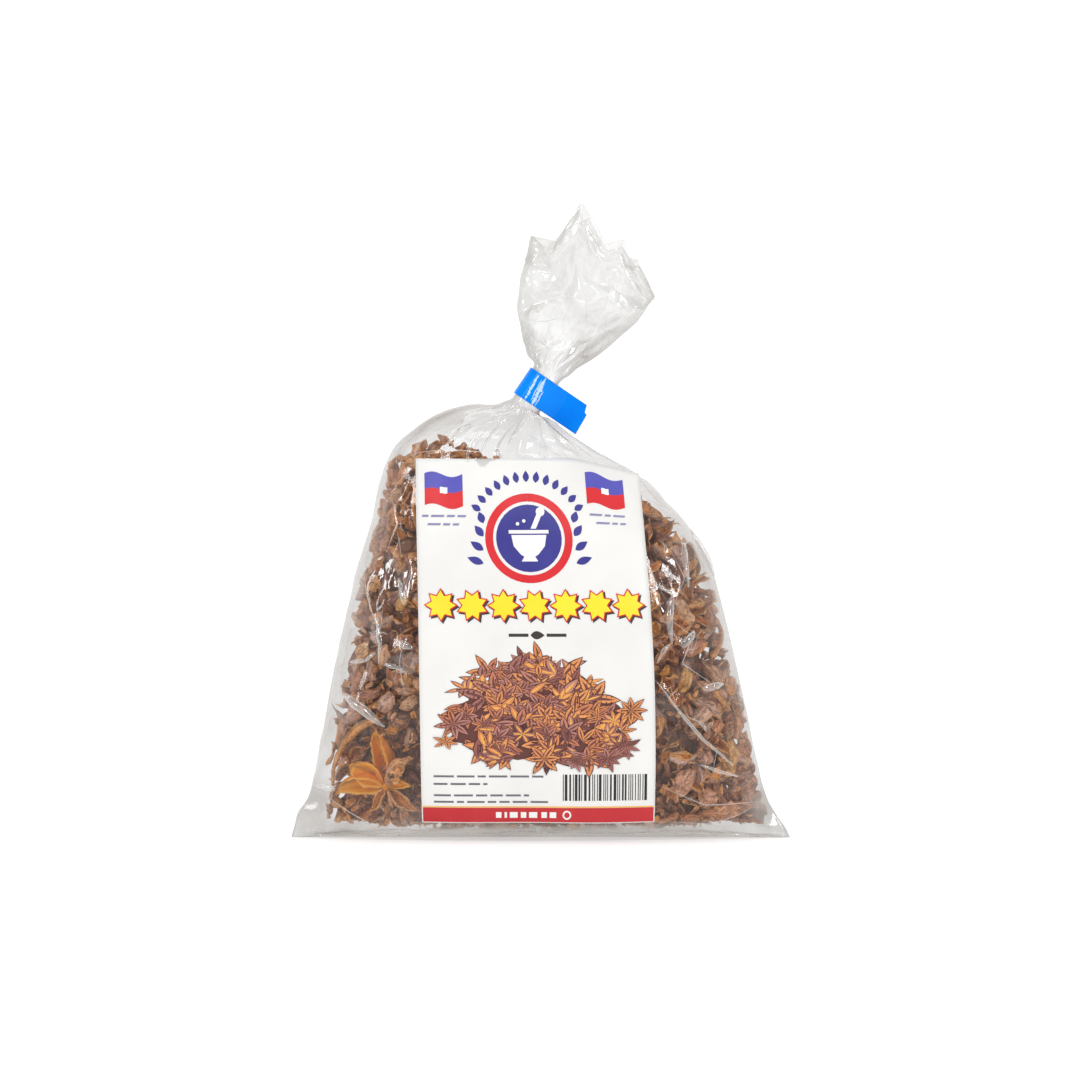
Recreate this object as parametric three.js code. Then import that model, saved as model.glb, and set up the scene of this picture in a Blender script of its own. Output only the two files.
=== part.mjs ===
// A clear film bag filled with star anise pods. It stands on its flat base, with a paper label on
// the front and the gathered neck closed by a band of blue tape, above which the mouth fans out.
//
// Millimetres, +Z up. The origin is the middle of the base on the floor. +X is to the right of
// somebody who reads the label, and the label faces -Y.

import * as THREE from "three";

// Each cross-section of the bag, from the floor up: its left and right ends in the front view as
// [x, z], half its depth, how sharply the two faces meet at the sides (0.5 is an ellipse, and over
// 1 is a flat ear), and the height of its pleats. The pods fill it up to the one at [-37.4, 119.8].
// Above them the empty film sinks in, so that the top of the heap shows as a ledge.
const SECTIONS = [
  { left: [-73, 0], right: [73, 0], depth: 10, ear: 1.6, pleat: 0 },
  { left: [-72.8, 1.2], right: [72.6, 1.2], depth: 14.6, ear: 1.5, pleat: 0 },
  { left: [-72.2, 3.2], right: [71.6, 3.2], depth: 18.6, ear: 1.4, pleat: 0 },
  { left: [-71, 7.2], right: [69.2, 7], depth: 22, ear: 1.2, pleat: 0 },
  { left: [-68, 12.5], right: [66.4, 12.5], depth: 24, ear: 1, pleat: 0 },
  { left: [-65.8, 21], right: [64, 21], depth: 25.6, ear: 0.84, pleat: 0 },
  { left: [-63.4, 34], right: [61.4, 34], depth: 26.6, ear: 0.74, pleat: 0 },
  { left: [-61, 47.5], right: [58.8, 46], depth: 27, ear: 0.7, pleat: 0 },
  { left: [-57, 63.5], right: [55.4, 61], depth: 26.6, ear: 0.68, pleat: 0 },
  { left: [-52.5, 79], right: [52, 74], depth: 25.4, ear: 0.68, pleat: 0 },
  { left: [-48.8, 93.5], right: [48, 84.5], depth: 23.6, ear: 0.68, pleat: 0.2 },
  { left: [-46.5, 105], right: [42.2, 92.5], depth: 21, ear: 0.68, pleat: 0.4 },
  { left: [-43.6, 113.6], right: [35.4, 100.6], depth: 17.8, ear: 0.66, pleat: 0.7 },
  { left: [-37.4, 119.8], right: [28.4, 106.4], depth: 13.6, ear: 0.64, pleat: 1 },
  { left: [-29.2, 124.4], right: [21.4, 110.8], depth: 9, ear: 0.62, pleat: 1.2 },
  { left: [-20.4, 126.8], right: [14.2, 115.2], depth: 7, ear: 0.6, pleat: 1.2 },
  { left: [-13.2, 127], right: [7.8, 119.4], depth: 5.8, ear: 0.56, pleat: 0.8 },
  { left: [-9.6, 128.6], right: [3, 122.6], depth: 5, ear: 0.52, pleat: 0.4 },
];

// The neck is round where the tape holds it, and leans to the right.
const NECK_LEAN = THREE.MathUtils.degToRad(34);
const NECK_CENTRE = [-1, 131.9];
const NECK_RADIUS = 4.5;
const TAPE_WIDTH = 9;
const NECK_HALF = TAPE_WIDTH / 2 + 0.6; // the neck is straight for this far either way

// The fan above the tape, in the same terms as SECTIONS.
const FAN_SECTIONS = [
  { left: [-3.6, 142.4], right: [9.6, 137.2], depth: 5, ear: 0.54, pleat: 0.6 },
  { left: [-5.2, 148.6], right: [17.4, 142.2], depth: 6.2, ear: 0.58, pleat: 1.2 },
  { left: [-6.7, 156], right: [25.4, 149.2], depth: 7.2, ear: 0.6, pleat: 1.7 },
  { left: [-5.7, 162], right: [30.8, 155.2], depth: 7.8, ear: 0.62, pleat: 2 },
];
const RIM_DEPTH = 7;
const RIM_PLEAT = 2.2;

// The cut edge of the mouth, which the gathering turns into points and hollows: the place across
// the bag, from -1 on the left to 1 on the right, then [x, z].
const FRONT_RIM = [
  [-1, [-2.5, 177.1]],
  [-0.6, [4.8, 175.5]],
  [-0.2, [12.2, 187.5]],
  [0.05, [16.9, 179.4]],
  [0.2, [19.6, 174.9]],
  [0.48, [24.7, 176.1]],
  [0.56, [25.9, 170.7]],
  [0.75, [29.1, 169.8]],
  [1, [33.6, 159.4]],
];
const BACK_RIM = [
  [-1, [-2.5, 177.1]],
  [-0.7, [2.4, 173.4]],
  [-0.36, [8.8, 179.8]],
  [-0.08, [14.4, 182.4]],
  [0.2, [19.8, 172.6]],
  [0.44, [24, 174]],
  [0.8, [29.6, 165.6]],
  [1, [33.6, 159.4]],
];

const FLATNESS = 2.8; // the power that keeps the middle of each face flat
const PLEATS = 3.4; // pleats across half a face
const POINTS_ACROSS = 34; // steps from one side to the other on each face
const STEPS = { body: 1, shoulder: 2, neck: 2, fan: 2, rim: 3 }; // rows from one section to the next
const SHOULDER_FROM = 10; // the first section of the shoulder

const LABEL = {
  left: [-34.2, -35.8], // x at the bottom and at the top
  right: [33.2, 28.2],
  rightBulge: 1.9, // how far the right edge stands out half way up
  bottom: 5.3,
  top: 111.4,
  topDrop: 5, // how far the right-hand corner falls away with the shoulder
  dropFrom: 0.68,
  gap: 0.75,
  thick: 0.35,
  across: 18,
  up: 30,
};

const TAPE = {
  gap: 0.35,
  thick: 0.45,
  flagReach: 15.8, // from the middle of the neck to the tape's free end
  flagThick: 0.7,
  flagTurn: THREE.MathUtils.degToRad(17), // the free end stands forward of the shoulder
  endSlant: 0.2,
  notch: 0.8, // the upper tape end stops short of the lower one
};

const COLOURS = { bag: 0x9c6d47, label: 0xf1f0ed, tape: 0x0a8df5 };

const { lerp } = THREE.MathUtils;
const lerp2 = (a, b, t) => [lerp(a[0], b[0], t), lerp(a[1], b[1], t)];

// The value at t, from 0 to 1, between b and c on a Catmull-Rom spline through a, b, c and d.
function catmullRom(a, b, c, d, t) {
  const slopeIn = (c - a) / 2;
  const slopeOut = (d - b) / 2;
  const cubic = 2 * b - 2 * c + slopeIn + slopeOut;
  const square = -3 * b + 3 * c - 2 * slopeIn - slopeOut;
  return ((cubic * t + square) * t + slopeIn) * t + b;
}

// The section at a place along a list of sections, where 0 is the first and 1 the second.
function sectionAt(sections, place) {
  const last = sections.length - 1;
  const i = Math.min(Math.floor(place), last - 1);
  const near = [i - 1, i, i + 1, i + 2].map((k) => sections[THREE.MathUtils.clamp(k, 0, last)]);
  const blend = (read) => catmullRom(...near.map(read), place - i);
  return {
    left: [blend((s) => s.left[0]), blend((s) => s.left[1])],
    right: [blend((s) => s.right[0]), blend((s) => s.right[1])],
    depth: blend((s) => s.depth),
    ear: blend((s) => s.ear),
    pleat: blend((s) => s.pleat),
  };
}

// The neck's section, at a distance along its leaning axis from the middle of the tape.
function neckSection(along) {
  const [cx, cz] = NECK_CENTRE;
  const [sin, cos] = [Math.sin(NECK_LEAN), Math.cos(NECK_LEAN)];
  const middle = [cx + along * sin, cz + along * cos];
  return {
    left: [middle[0] - NECK_RADIUS * cos, middle[1] + NECK_RADIUS * sin],
    right: [middle[0] + NECK_RADIUS * cos, middle[1] - NECK_RADIUS * sin],
    depth: NECK_RADIUS,
    ear: 0.5,
    pleat: 0,
  };
}

// A wave of sharp pleats, from -1 to 1. Its spacing is uneven, and differs between front and back.
function pleatWave(u, side) {
  const place = PLEATS * (u + 0.09 * Math.sin(4.1 * u + 1.3 * side)) + 0.21 * side;
  return 4 * Math.abs(place - Math.floor(place) - 0.5) - 1;
}

// How far a face stands off the middle plane, at u across a section.
function faceDepth(section, u, side) {
  const round = Math.pow(Math.max(0, 1 - Math.pow(Math.abs(u), FLATNESS)), section.ear);
  return round * (section.depth + section.pleat * pleatWave(u, side));
}

// A point on a face of the bag. side is -1 for the front and 1 for the back.
function pointOn(section, u, side) {
  const [x, z] = lerp2(section.left, section.right, (u + 1) / 2);
  return [x, side * faceDepth(section, u, side), z];
}

function rimAt(rim, u) {
  const k = Math.max(1, rim.findIndex(([at]) => at >= u));
  const [[u0, a], [u1, b]] = [rim[k - 1], rim[k]];
  return lerp2(a, b, (u - u0) / (u1 - u0));
}

// A point between the last section of the fan, where rise is 0, and the cut edge, where it is 1.
function pointUnderRim(rise, u, side) {
  const below = FAN_SECTIONS.at(-1);
  const [x0, , z0] = pointOn(below, u, side);
  const [x, z] = lerp2([x0, z0], rimAt(side < 0 ? FRONT_RIM : BACK_RIM, u), rise);
  const section = {
    ...below,
    depth: lerp(below.depth, RIM_DEPTH, rise),
    pleat: lerp(below.pleat, RIM_PLEAT, rise),
  };
  return [x, side * faceDepth(section, u, side), z];
}

// The places across a face: closer together near the sides, where the faces turn.
function placesAcross() {
  return Array.from({ length: POINTS_ACROSS + 1 }, (_, i) => {
    const share = i / POINTS_ACROSS;
    return lerp(2 * share - 1, -Math.cos(Math.PI * share), 0.6);
  });
}

// A row of points round the bag: the front from left to right, then the back from right to left.
function ring(point) {
  const across = placesAcross();
  return [
    ...across.map((u) => point(u, -1)),
    ...across.slice(1, -1).reverse().map((u) => point(u, 1)),
  ];
}

// The rows of points that the bag's skin is made of, from the floor to the cut edge.
function bagRings() {
  const all = [...SECTIONS, neckSection(-NECK_HALF), neckSection(NECK_HALF), ...FAN_SECTIONS];
  const neck = SECTIONS.length;
  const stepsFrom = (i) => {
    if (i < SHOULDER_FROM) return STEPS.body;
    if (i < neck) return STEPS.shoulder;
    return i === neck ? STEPS.neck : STEPS.fan;
  };
  const sections = [];
  for (let i = 0; i < all.length - 1; i++)
    for (let k = 0; k < stepsFrom(i); k++) {
      const t = k / stepsFrom(i);
      sections.push(i === neck ? neckSection(lerp(-NECK_HALF, NECK_HALF, t)) : sectionAt(all, i + t));
    }
  const rings = sections.map((section) => ring((u, side) => pointOn(section, u, side)));
  for (let k = 0; k <= STEPS.rim; k++)
    rings.push(ring((u, side) => pointUnderRim(k / STEPS.rim, u, side)));
  return rings;
}

function geometryOf(points, triangles) {
  return new THREE.BufferGeometry()
    .setAttribute("position", new THREE.Float32BufferAttribute(points.flat(), 3))
    .setIndex(triangles.flat());
}

// The solid inside a stack of rings, closed at both ends by strips from the front to the back.
function solidOfRings(rings) {
  const count = rings[0].length;
  const triangles = [];
  const quad = (a, b, c, d) => triangles.push([a, b, c], [a, c, d]);
  for (let j = 0; j < rings.length - 1; j++)
    for (let i = 0; i < count; i++) {
      const next = (i + 1) % count;
      quad(j * count + i, j * count + next, (j + 1) * count + next, (j + 1) * count + i);
    }
  const cap = (start, flip) => {
    const faces = [];
    for (let i = 0; i < POINTS_ACROSS; i++) {
      const [f0, f1] = [i, i + 1];
      const [b0, b1] = [(count - i) % count, count - i - 1];
      if (f0 !== b0) faces.push([f0, b0, f1]);
      if (f1 !== b1) faces.push([b0, b1, f1]);
    }
    for (const [a, b, c] of faces)
      triangles.push((flip ? [a, c, b] : [a, b, c]).map((k) => start + k));
  };
  cap(0, false);
  cap((rings.length - 1) * count, true);
  return geometryOf(rings.flat(), triangles);
}

// How far the bag's front stands at [x, z] of the front view, found by halving along the sections.
function frontDepth(x, z) {
  let [low, high] = [0, SECTIONS.length - 1];
  const across = (s) => (2 * x - s.left[0] - s.right[0]) / (s.right[0] - s.left[0]);
  for (let i = 0; i < 30; i++) {
    const middle = (low + high) / 2;
    const s = sectionAt(SECTIONS, middle);
    const height = lerp(s.left[1], s.right[1], (across(s) + 1) / 2);
    if (height < z) low = middle;
    else high = middle;
  }
  const found = sectionAt(SECTIONS, low);
  return faceDepth({ ...found, pleat: 0 }, across(found), -1);
}

// A point at an offset off the front of the bag, square to it.
function offFront(x, z, offset) {
  const step = 0.5;
  const depth = frontDepth(x, z);
  const slopeX = (frontDepth(x + step, z) - frontDepth(x - step, z)) / (2 * step);
  const slopeZ = (frontDepth(x, z + step) - frontDepth(x, z - step)) / (2 * step);
  const reach = offset / Math.hypot(slopeX, 1, slopeZ);
  return [x - slopeX * reach, -depth - reach, z - slopeZ * reach];
}

// The label is a thin curved sheet that follows the front, its right top corner falling away.
function labelPoint(s, t, offset) {
  const left = lerp(...LABEL.left, t);
  const right = lerp(...LABEL.right, t) + LABEL.rightBulge * 4 * t * (1 - t);
  const fall = LABEL.topDrop * Math.max(0, (s - LABEL.dropFrom) / (1 - LABEL.dropFrom)) ** 1.2;
  return offFront(lerp(left, right, s), lerp(LABEL.bottom, LABEL.top - fall, t), offset);
}

function labelSolid() {
  const { across, up, gap, thick } = LABEL;
  const row = across + 1;
  const points = [];
  for (const offset of [gap + thick, gap])
    for (let j = 0; j <= up; j++)
      for (let i = 0; i <= across; i++) points.push(labelPoint(i / across, j / up, offset));
  const back = row * (up + 1);
  const triangles = [];
  const quad = (a, b, c, d) => triangles.push([a, b, c], [a, c, d]);
  for (let j = 0; j < up; j++)
    for (let i = 0; i < across; i++) {
      const [a, b] = [j * row + i, j * row + i + 1];
      const [c, d] = [b + row, a + row];
      quad(a, b, c, d);
      triangles.push([back + a, back + c, back + b], [back + a, back + d, back + c]);
    }
  const edge = (a, b) => quad(b, a, back + a, back + b);
  for (let i = 0; i < across; i++) {
    edge(i, i + 1);
    edge(up * row + i + 1, up * row + i);
  }
  for (let j = 0; j < up; j++) {
    edge((j + 1) * row, j * row);
    edge(j * row + across, (j + 1) * row + across);
  }
  return geometryOf(points, triangles);
}

// The tape, drawn looking along the neck: a loop round it whose two ends are pressed together
// into a flag. It starts where the flag's front face leaves the loop.
function tapeOutline() {
  const inner = NECK_RADIUS + TAPE.gap;
  const outer = inner + TAPE.thick;
  const half = TAPE.flagThick / 2;
  const leaves = Math.asin(half / outer) + 0.12;
  const outline = new THREE.Shape();
  outline.absarc(0, 0, outer, leaves, 2 * Math.PI - leaves, false);
  outline.lineTo(TAPE.flagReach, -half);
  outline.lineTo(TAPE.flagReach, half);
  outline.closePath();
  const hole = new THREE.Path();
  hole.absarc(0, 0, inner, 0, 2 * Math.PI, true);
  outline.holes.push(hole);
  return outline;
}

// The flag turns forward as it leaves the loop, and its free end is cut on the slant.
function bendFlag(geometry) {
  const position = geometry.getAttribute("position");
  const reach = TAPE.flagReach - NECK_RADIUS;
  for (let i = 0; i < position.count; i++) {
    const [x, y, along] = [position.getX(i), position.getY(i), position.getZ(i)];
    const out = Math.max(0, x - NECK_RADIUS) / reach;
    const short = along > 0 ? TAPE.notch : 0;
    position.setX(i, x - out * (TAPE.endSlant * along + short));
    position.setY(i, y - out * reach * Math.tan(TAPE.flagTurn));
  }
  return geometry;
}

function tapeSolid() {
  const solid = new THREE.ExtrudeGeometry(tapeOutline(), {
    depth: TAPE_WIDTH,
    steps: 2,
    bevelEnabled: false,
    curveSegments: 28,
  });
  solid.translate(0, 0, -TAPE_WIDTH / 2);
  return bendFlag(solid);
}

function piece(name, geometry, roughness) {
  const material = new THREE.MeshStandardMaterial({ color: COLOURS[name], roughness, metalness: 0 });
  const mesh = new THREE.Mesh(geometry, material);
  mesh.name = name;
  return mesh;
}

// The tape's own frame has the neck along Z: it is tipped to the right, into its place.
function tapeInPlace() {
  const mesh = piece("tape", tapeSolid(), 0.25);
  const tilt = new THREE.Group();
  tilt.position.set(NECK_CENTRE[0], 0, NECK_CENTRE[1]);
  tilt.rotation.y = NECK_LEAN;
  tilt.add(mesh);
  return tilt;
}

const bag = new THREE.Group();
bag.name = "star_anise_bag";
bag.add(piece("bag", solidOfRings(bagRings()), 0.3));
bag.add(piece("label", labelSolid(), 0.4));
bag.add(tapeInPlace());

export default bag;
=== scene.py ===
"""A clear film bag of star anise pods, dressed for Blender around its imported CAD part.

Shapes are worked out in millimetres, in the CAD part's frame: +Z up, the label facing -Y.
"""

import math

import bpy
import numpy as np
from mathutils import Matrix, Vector
from mathutils.bvhtree import BVHTree
from mathutils.geometry import delaunay_2d_cdt
from mathutils.kdtree import KDTree


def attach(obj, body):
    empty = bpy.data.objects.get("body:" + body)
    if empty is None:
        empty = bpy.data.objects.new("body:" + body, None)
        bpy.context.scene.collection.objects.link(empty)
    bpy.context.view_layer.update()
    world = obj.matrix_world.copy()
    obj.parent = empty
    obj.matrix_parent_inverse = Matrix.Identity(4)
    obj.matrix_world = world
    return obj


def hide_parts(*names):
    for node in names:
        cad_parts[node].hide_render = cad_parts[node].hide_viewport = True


MM = 0.001

# ---------------------------------------------------------------- the bag's shape, as in the CAD part

# Cross-sections from the floor up: left x, left z, right x, right z, half depth, ear power.
BODY = np.array([
    (-73.0, 0.0, 73.0, 0.0, 10.0, 1.6),
    (-72.8, 1.2, 72.6, 1.2, 14.6, 1.5),
    (-72.2, 3.2, 71.6, 3.2, 18.6, 1.4),
    (-71.0, 7.2, 69.2, 7.0, 22.0, 1.2),
    (-68.0, 12.5, 66.4, 12.5, 24.0, 1.0),
    (-65.8, 21.0, 64.0, 21.0, 25.6, 0.84),
    (-63.4, 34.0, 61.4, 34.0, 26.6, 0.74),
    (-61.0, 47.5, 58.8, 46.0, 27.0, 0.70),
    (-57.0, 63.5, 55.4, 61.0, 26.6, 0.68),
    (-52.5, 79.0, 52.0, 74.0, 25.4, 0.68),
    (-48.8, 93.5, 48.0, 84.5, 23.6, 0.68),
    (-46.5, 105.0, 42.2, 92.5, 21.0, 0.68),
    (-43.6, 113.6, 35.4, 100.6, 17.8, 0.66),
    (-37.4, 119.8, 28.4, 106.4, 13.6, 0.64),
    (-29.2, 124.4, 21.4, 110.8, 9.0, 0.62),
    (-20.4, 126.8, 14.2, 115.2, 7.0, 0.60),
    (-13.2, 127.0, 7.8, 119.4, 5.8, 0.56),
    (-9.6, 128.6, 3.0, 122.6, 5.0, 0.52),
])
FAN = np.array([
    (-3.6, 142.4, 9.6, 137.2, 5.0, 0.54),
    (-5.2, 148.6, 17.4, 142.2, 6.2, 0.58),
    (-6.7, 156.0, 25.4, 149.2, 7.2, 0.60),
    (-5.7, 162.0, 30.8, 155.2, 7.8, 0.62),
])
FLATNESS = 2.8  # how square the sections are: a power, as the ear power is, which pinches their ends
NECK_LEAN = math.radians(34)  # to the right
NECK_CENTRE = (-1.0, 131.9)
NECK_RADIUS = 4.5
TAPE_WIDTH = 9.0
NECK_HALF = TAPE_WIDTH / 2 + 0.6  # half the length of the round neck
RIM_DEPTH = 7.0  # half the depth of the open mouth

# The cut edge of the mouth: the place across, then x and z.
FRONT_RIM = np.array([
    (-1.0, -2.5, 177.1),
    (-0.6, 4.8, 175.5),
    (-0.2, 12.2, 187.3),
    (0.05, 16.9, 179.4),
    (0.2, 19.6, 174.9),
    (0.48, 24.7, 176.1),
    (0.56, 25.9, 170.7),
    (0.75, 29.1, 169.8),
    (1.0, 33.6, 159.4),
])
BACK_RIM = np.array([
    (-1.0, -2.5, 177.1),
    (-0.7, 2.4, 173.4),
    (-0.36, 8.8, 179.8),
    (-0.08, 14.4, 182.4),
    (0.2, 19.8, 172.6),
    (0.44, 24.0, 174.0),
    (0.8, 29.6, 165.6),
    (1.0, 33.6, 159.4),
])


def neck_section(along):
    """The round neck's section, at a distance along its leaning axis from the middle of the tape."""
    sin, cos = math.sin(NECK_LEAN), math.cos(NECK_LEAN)
    x, z = NECK_CENTRE[0] + along * sin, NECK_CENTRE[1] + along * cos
    r = NECK_RADIUS
    return (x - r * cos, z + r * sin, x + r * cos, z - r * sin, r, 0.5)


SECTIONS = np.vstack([BODY, neck_section(-NECK_HALF), neck_section(NECK_HALF), FAN])
NECK = len(BODY)  # the place of the neck's lower section
RIM = len(SECTIONS) - 1  # the place of the last section: one more is the cut edge


def lerp(a, b, t):
    return a + (b - a) * t


def smooth(x, low, high):
    """From 0 at low to 1 at high, with soft ends."""
    t = np.clip((x - low) / (high - low), 0, 1)
    return t * t * (3 - 2 * t)


def section_at(place):
    """The blended sections at places along the bag, by a Catmull-Rom spline: one row for each place."""
    place = np.clip(np.asarray(place, float), 0, RIM)
    i = np.minimum(place.astype(int), RIM - 1)
    t = (place - i)[..., None]
    a, b, c, d = (SECTIONS[np.clip(i + k, 0, RIM)] for k in (-1, 0, 1, 2))
    slope_in, slope_out = (c - a) / 2, (d - b) / 2
    curve = (((2 * b - 2 * c + slope_in + slope_out) * t - 3 * b + 3 * c - 2 * slope_in - slope_out) * t
             + slope_in) * t + b
    return np.where((i == NECK)[..., None], lerp(b, c, t), curve)


def rounding(u, ear):
    """How deep a section is at u across it, as a share of its depth in the middle."""
    return np.maximum(0, 1 - np.abs(u) ** FLATNESS) ** ear


def bag_point(place, u, side):
    """Points on the bag's smooth skin: place along it, u across a face, and side -1 front or 1 back."""
    place, u, side = np.broadcast_arrays(*(np.asarray(k, float) for k in (place, u, side)))
    s = section_at(place)
    x = lerp(s[..., 0], s[..., 2], (u + 1) / 2)
    z = lerp(s[..., 1], s[..., 3], (u + 1) / 2)
    rise = np.clip(place - RIM, 0, 1)
    for rim, here in ((FRONT_RIM, side < 0), (BACK_RIM, side > 0)):
        x = np.where(here, lerp(x, np.interp(u, rim[:, 0], rim[:, 1]), rise), x)
        z = np.where(here, lerp(z, np.interp(u, rim[:, 0], rim[:, 2]), rise), z)
    y = side * rounding(u, s[..., 5]) * lerp(s[..., 4], RIM_DEPTH, rise)
    return np.stack([x, y, z], -1)


def across_section(section, x):
    """How far across a section x is: -1 at its left end and 1 at its right."""
    return (2 * x - section[..., 0] - section[..., 2]) / (section[..., 2] - section[..., 0])


def front_depth(x, z):
    """How far the bag's front stands at x, z of the front view, found by halving along the sections."""
    x, z = np.broadcast_arrays(np.asarray(x, float), np.asarray(z, float))
    low, high = np.zeros(x.shape), np.full(x.shape, float(NECK - 1))
    for _ in range(26):
        middle = (low + high) / 2
        s = section_at(middle)
        below = lerp(s[..., 1], s[..., 3], (across_section(s, x) + 1) / 2) < z
        low, high = np.where(below, middle, low), np.where(below, high, middle)
    s = section_at(low)
    return s[..., 4] * rounding(across_section(s, x), s[..., 5])


# ---------------------------------------------------------------- mesh and material helpers


def mesh_object(name, points, faces, material, **attributes):
    """A mesh from points in mm and rows of vertex numbers, with a value per point for each attribute."""
    faces = np.asarray(faces, np.int32)
    mesh = bpy.data.meshes.new(name)
    mesh.vertices.add(len(points))
    mesh.vertices.foreach_set("co", (np.asarray(points) * MM).astype(np.float32).ravel())
    mesh.loops.add(faces.size)
    mesh.loops.foreach_set("vertex_index", faces.ravel())
    mesh.polygons.add(len(faces))
    mesh.polygons.foreach_set("loop_start", np.arange(0, faces.size, faces.shape[1], dtype=np.int32))
    mesh.update(calc_edges=True)
    mesh.polygons.foreach_set("use_smooth", np.ones(len(faces), bool))
    for key, values in attributes.items():
        mesh.attributes.new(key, "FLOAT", "POINT").data.foreach_set("value", np.asarray(values, np.float32))
    mesh.materials.append(material)
    return linked(bpy.data.objects.new(name, mesh))


def linked(obj):
    bpy.context.scene.collection.objects.link(obj)
    return obj


def unit(vectors):
    return vectors / np.maximum(np.linalg.norm(vectors, axis=-1, keepdims=True), 1e-9)


def run_of(line):
    """How far along a line each of its points is."""
    return np.concatenate([[0], np.cumsum(np.linalg.norm(np.diff(line, axis=0), axis=1))])


def grid_faces(rows, columns, wrap=False):
    """Quads of a grid of points, row by row, with the last column joined to the first if it wraps."""
    j, i = np.mgrid[0:rows - 1, 0:columns if wrap else columns - 1]
    k = (i + 1) % columns
    quads = [j * columns + i, j * columns + k, (j + 1) * columns + k, (j + 1) * columns + i]
    return np.stack(quads, -1).reshape(-1, 4)


def halved(quads):
    """Each quad as two triangles."""
    return np.concatenate([quads[:, [0, 1, 2]], quads[:, [0, 2, 3]]])


def tube(rows, columns):
    """Triangles of rings of points, one after another, closed at both ends."""
    fan, last = np.arange(1, columns - 1), (rows - 1) * columns
    start = np.stack([0 * fan, fan + 1, fan], -1)
    return np.concatenate([halved(grid_faces(rows, columns, wrap=True)), start, last + start[:, [0, 2, 1]]])


def colour(r, g, b):
    """A linear colour from its 0 to 255 screen values."""
    shades = [c / 255 / 12.92 if c <= 10 else ((c / 255 + 0.055) / 1.055) ** 2.4 for c in (r, g, b)]
    return (*shades, 1.0)


class Shader:
    """A material's node tree, with short calls to add and join nodes."""

    def __init__(self, name):
        self.material = bpy.data.materials.new(name)
        self.material.use_nodes = True
        self.tree = self.material.node_tree
        self.tree.nodes.clear()
        self.output = self.tree.nodes.new("ShaderNodeOutputMaterial")

    def add(self, kind, inputs=None, **settings):
        """A new node: inputs is what goes into its sockets, as values or as other nodes' sockets."""
        node = self.tree.nodes.new("ShaderNode" + kind)
        for key, value in settings.items():
            setattr(node, key, value)
        for key, value in (inputs or {}).items():
            if isinstance(value, bpy.types.NodeSocket):
                self.tree.links.new(value, node.inputs[key])
            else:
                node.inputs[key].default_value = value
        return node

    def maths(self, operation, a, b=0.0, c=0.0):
        return self.add("Math", {0: a, 1: b, 2: c}, operation=operation).outputs[0]

    def mix(self, factor, a, b, blend="MIX"):
        node = self.add("Mix", {0: factor, 6: a, 7: b}, data_type="RGBA", blend_type=blend)
        return node.outputs[2]

    def rescale(self, value, low, high, to_low, to_high, **settings):
        """A value between low and high as one between to_low and to_high, and no further."""
        node = self.add("MapRange", {0: value, 1: low, 2: high, 3: to_low, 4: to_high}, **settings)
        return node.outputs[0]

    def ramp(self, value, stops):
        """A colour from a value: each stop is a value and the screen colour there."""
        node = self.add("ValToRGB", {0: value})
        elements = node.color_ramp.elements
        while len(elements) < len(stops):
            elements.new(0.5)
        for element, (at, shade) in zip(elements, stops):
            element.position, element.color = at, colour(*shade)
        return node.outputs[0]

    def attribute(self, name):
        return self.add("Attribute", attribute_name=name).outputs["Fac"]

    def place(self):
        return self.add("TexCoord").outputs["Object"]

    def noise(self, scale, detail=2.0, roughness=0.5):
        return self.add("TexNoise", {"Vector": self.place(), "Scale": scale, "Detail": detail,
                                     "Roughness": roughness}).outputs["Fac"]

    def bump(self, height, strength, distance_mm):
        inputs = {"Height": height, "Strength": strength, "Distance": distance_mm * MM}
        return self.add("Bump", inputs).outputs[0]

    def solid(self, shade, roughness, specular=0.5, **more):
        inputs = {"Base Color": shade, "Roughness": roughness, "Specular IOR Level": specular}
        return self.add("BsdfPrincipled", {**inputs, **more})

    def clear(self, shade):
        return self.add("BsdfTransparent", {"Color": colour(shade, shade, shade)})

    def blend(self, share, first, second):
        return self.add("MixShader", {0: share, 1: first.outputs[0], 2: second.outputs[0]})

    def finish(self, surface):
        self.tree.links.new(surface.outputs[0], self.output.inputs["Surface"])
        return self.material


# ---------------------------------------------------------------- dry pods: the shapes of their pieces


class Shape:
    """A piece of a pod: its points and triangles, and the balls that stand in for it while the pieces settle.
    The traits say for each point how far it is inside (golden) rather than outside, and its mm along and
    around the piece. Around is 0 in the hollow of an arm, and far from 0 where there is no hollow."""

    def __init__(self, points, triangles, traits, balls, radii):
        self.points, self.triangles, self.traits = points, triangles, traits
        self.balls, self.radii = np.asarray(balls, float).reshape(-1, 3), np.asarray(radii, float)

    def turned(self, turn, move=(0, 0, 0)):
        points, balls = self.points @ turn.T + move, self.balls @ turn.T + move
        return Shape(points, self.triangles, self.traits, balls, self.radii)


def joined(shapes):
    points, triangles = together([(s.points, s.triangles) for s in shapes])
    return Shape(points, triangles, *(np.concatenate([getattr(s, name) for s in shapes])
                                      for name in ("traits", "balls", "radii")))


def together(parts):
    """Several parts' points and faces as one's."""
    starts = np.cumsum([0] + [len(points) for points, _ in parts[:-1]])
    return (np.concatenate([points for points, _ in parts]),
            np.concatenate([faces + start for (_, faces), start in zip(parts, starts)]))


def traits(inner, along, around):
    return np.stack(np.broadcast_arrays(inner, along, around), -1).reshape(-1, 3).astype(float)


def turn_about(axis, angle):
    c, s = math.cos(angle), math.sin(angle)
    return np.array({"x": [(1, 0, 0), (0, c, -s), (0, s, c)],
                     "y": [(c, 0, s), (0, 1, 0), (-s, 0, c)],
                     "z": [(c, -s, 0), (s, c, 0), (0, 0, 1)]}[axis])


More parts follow.
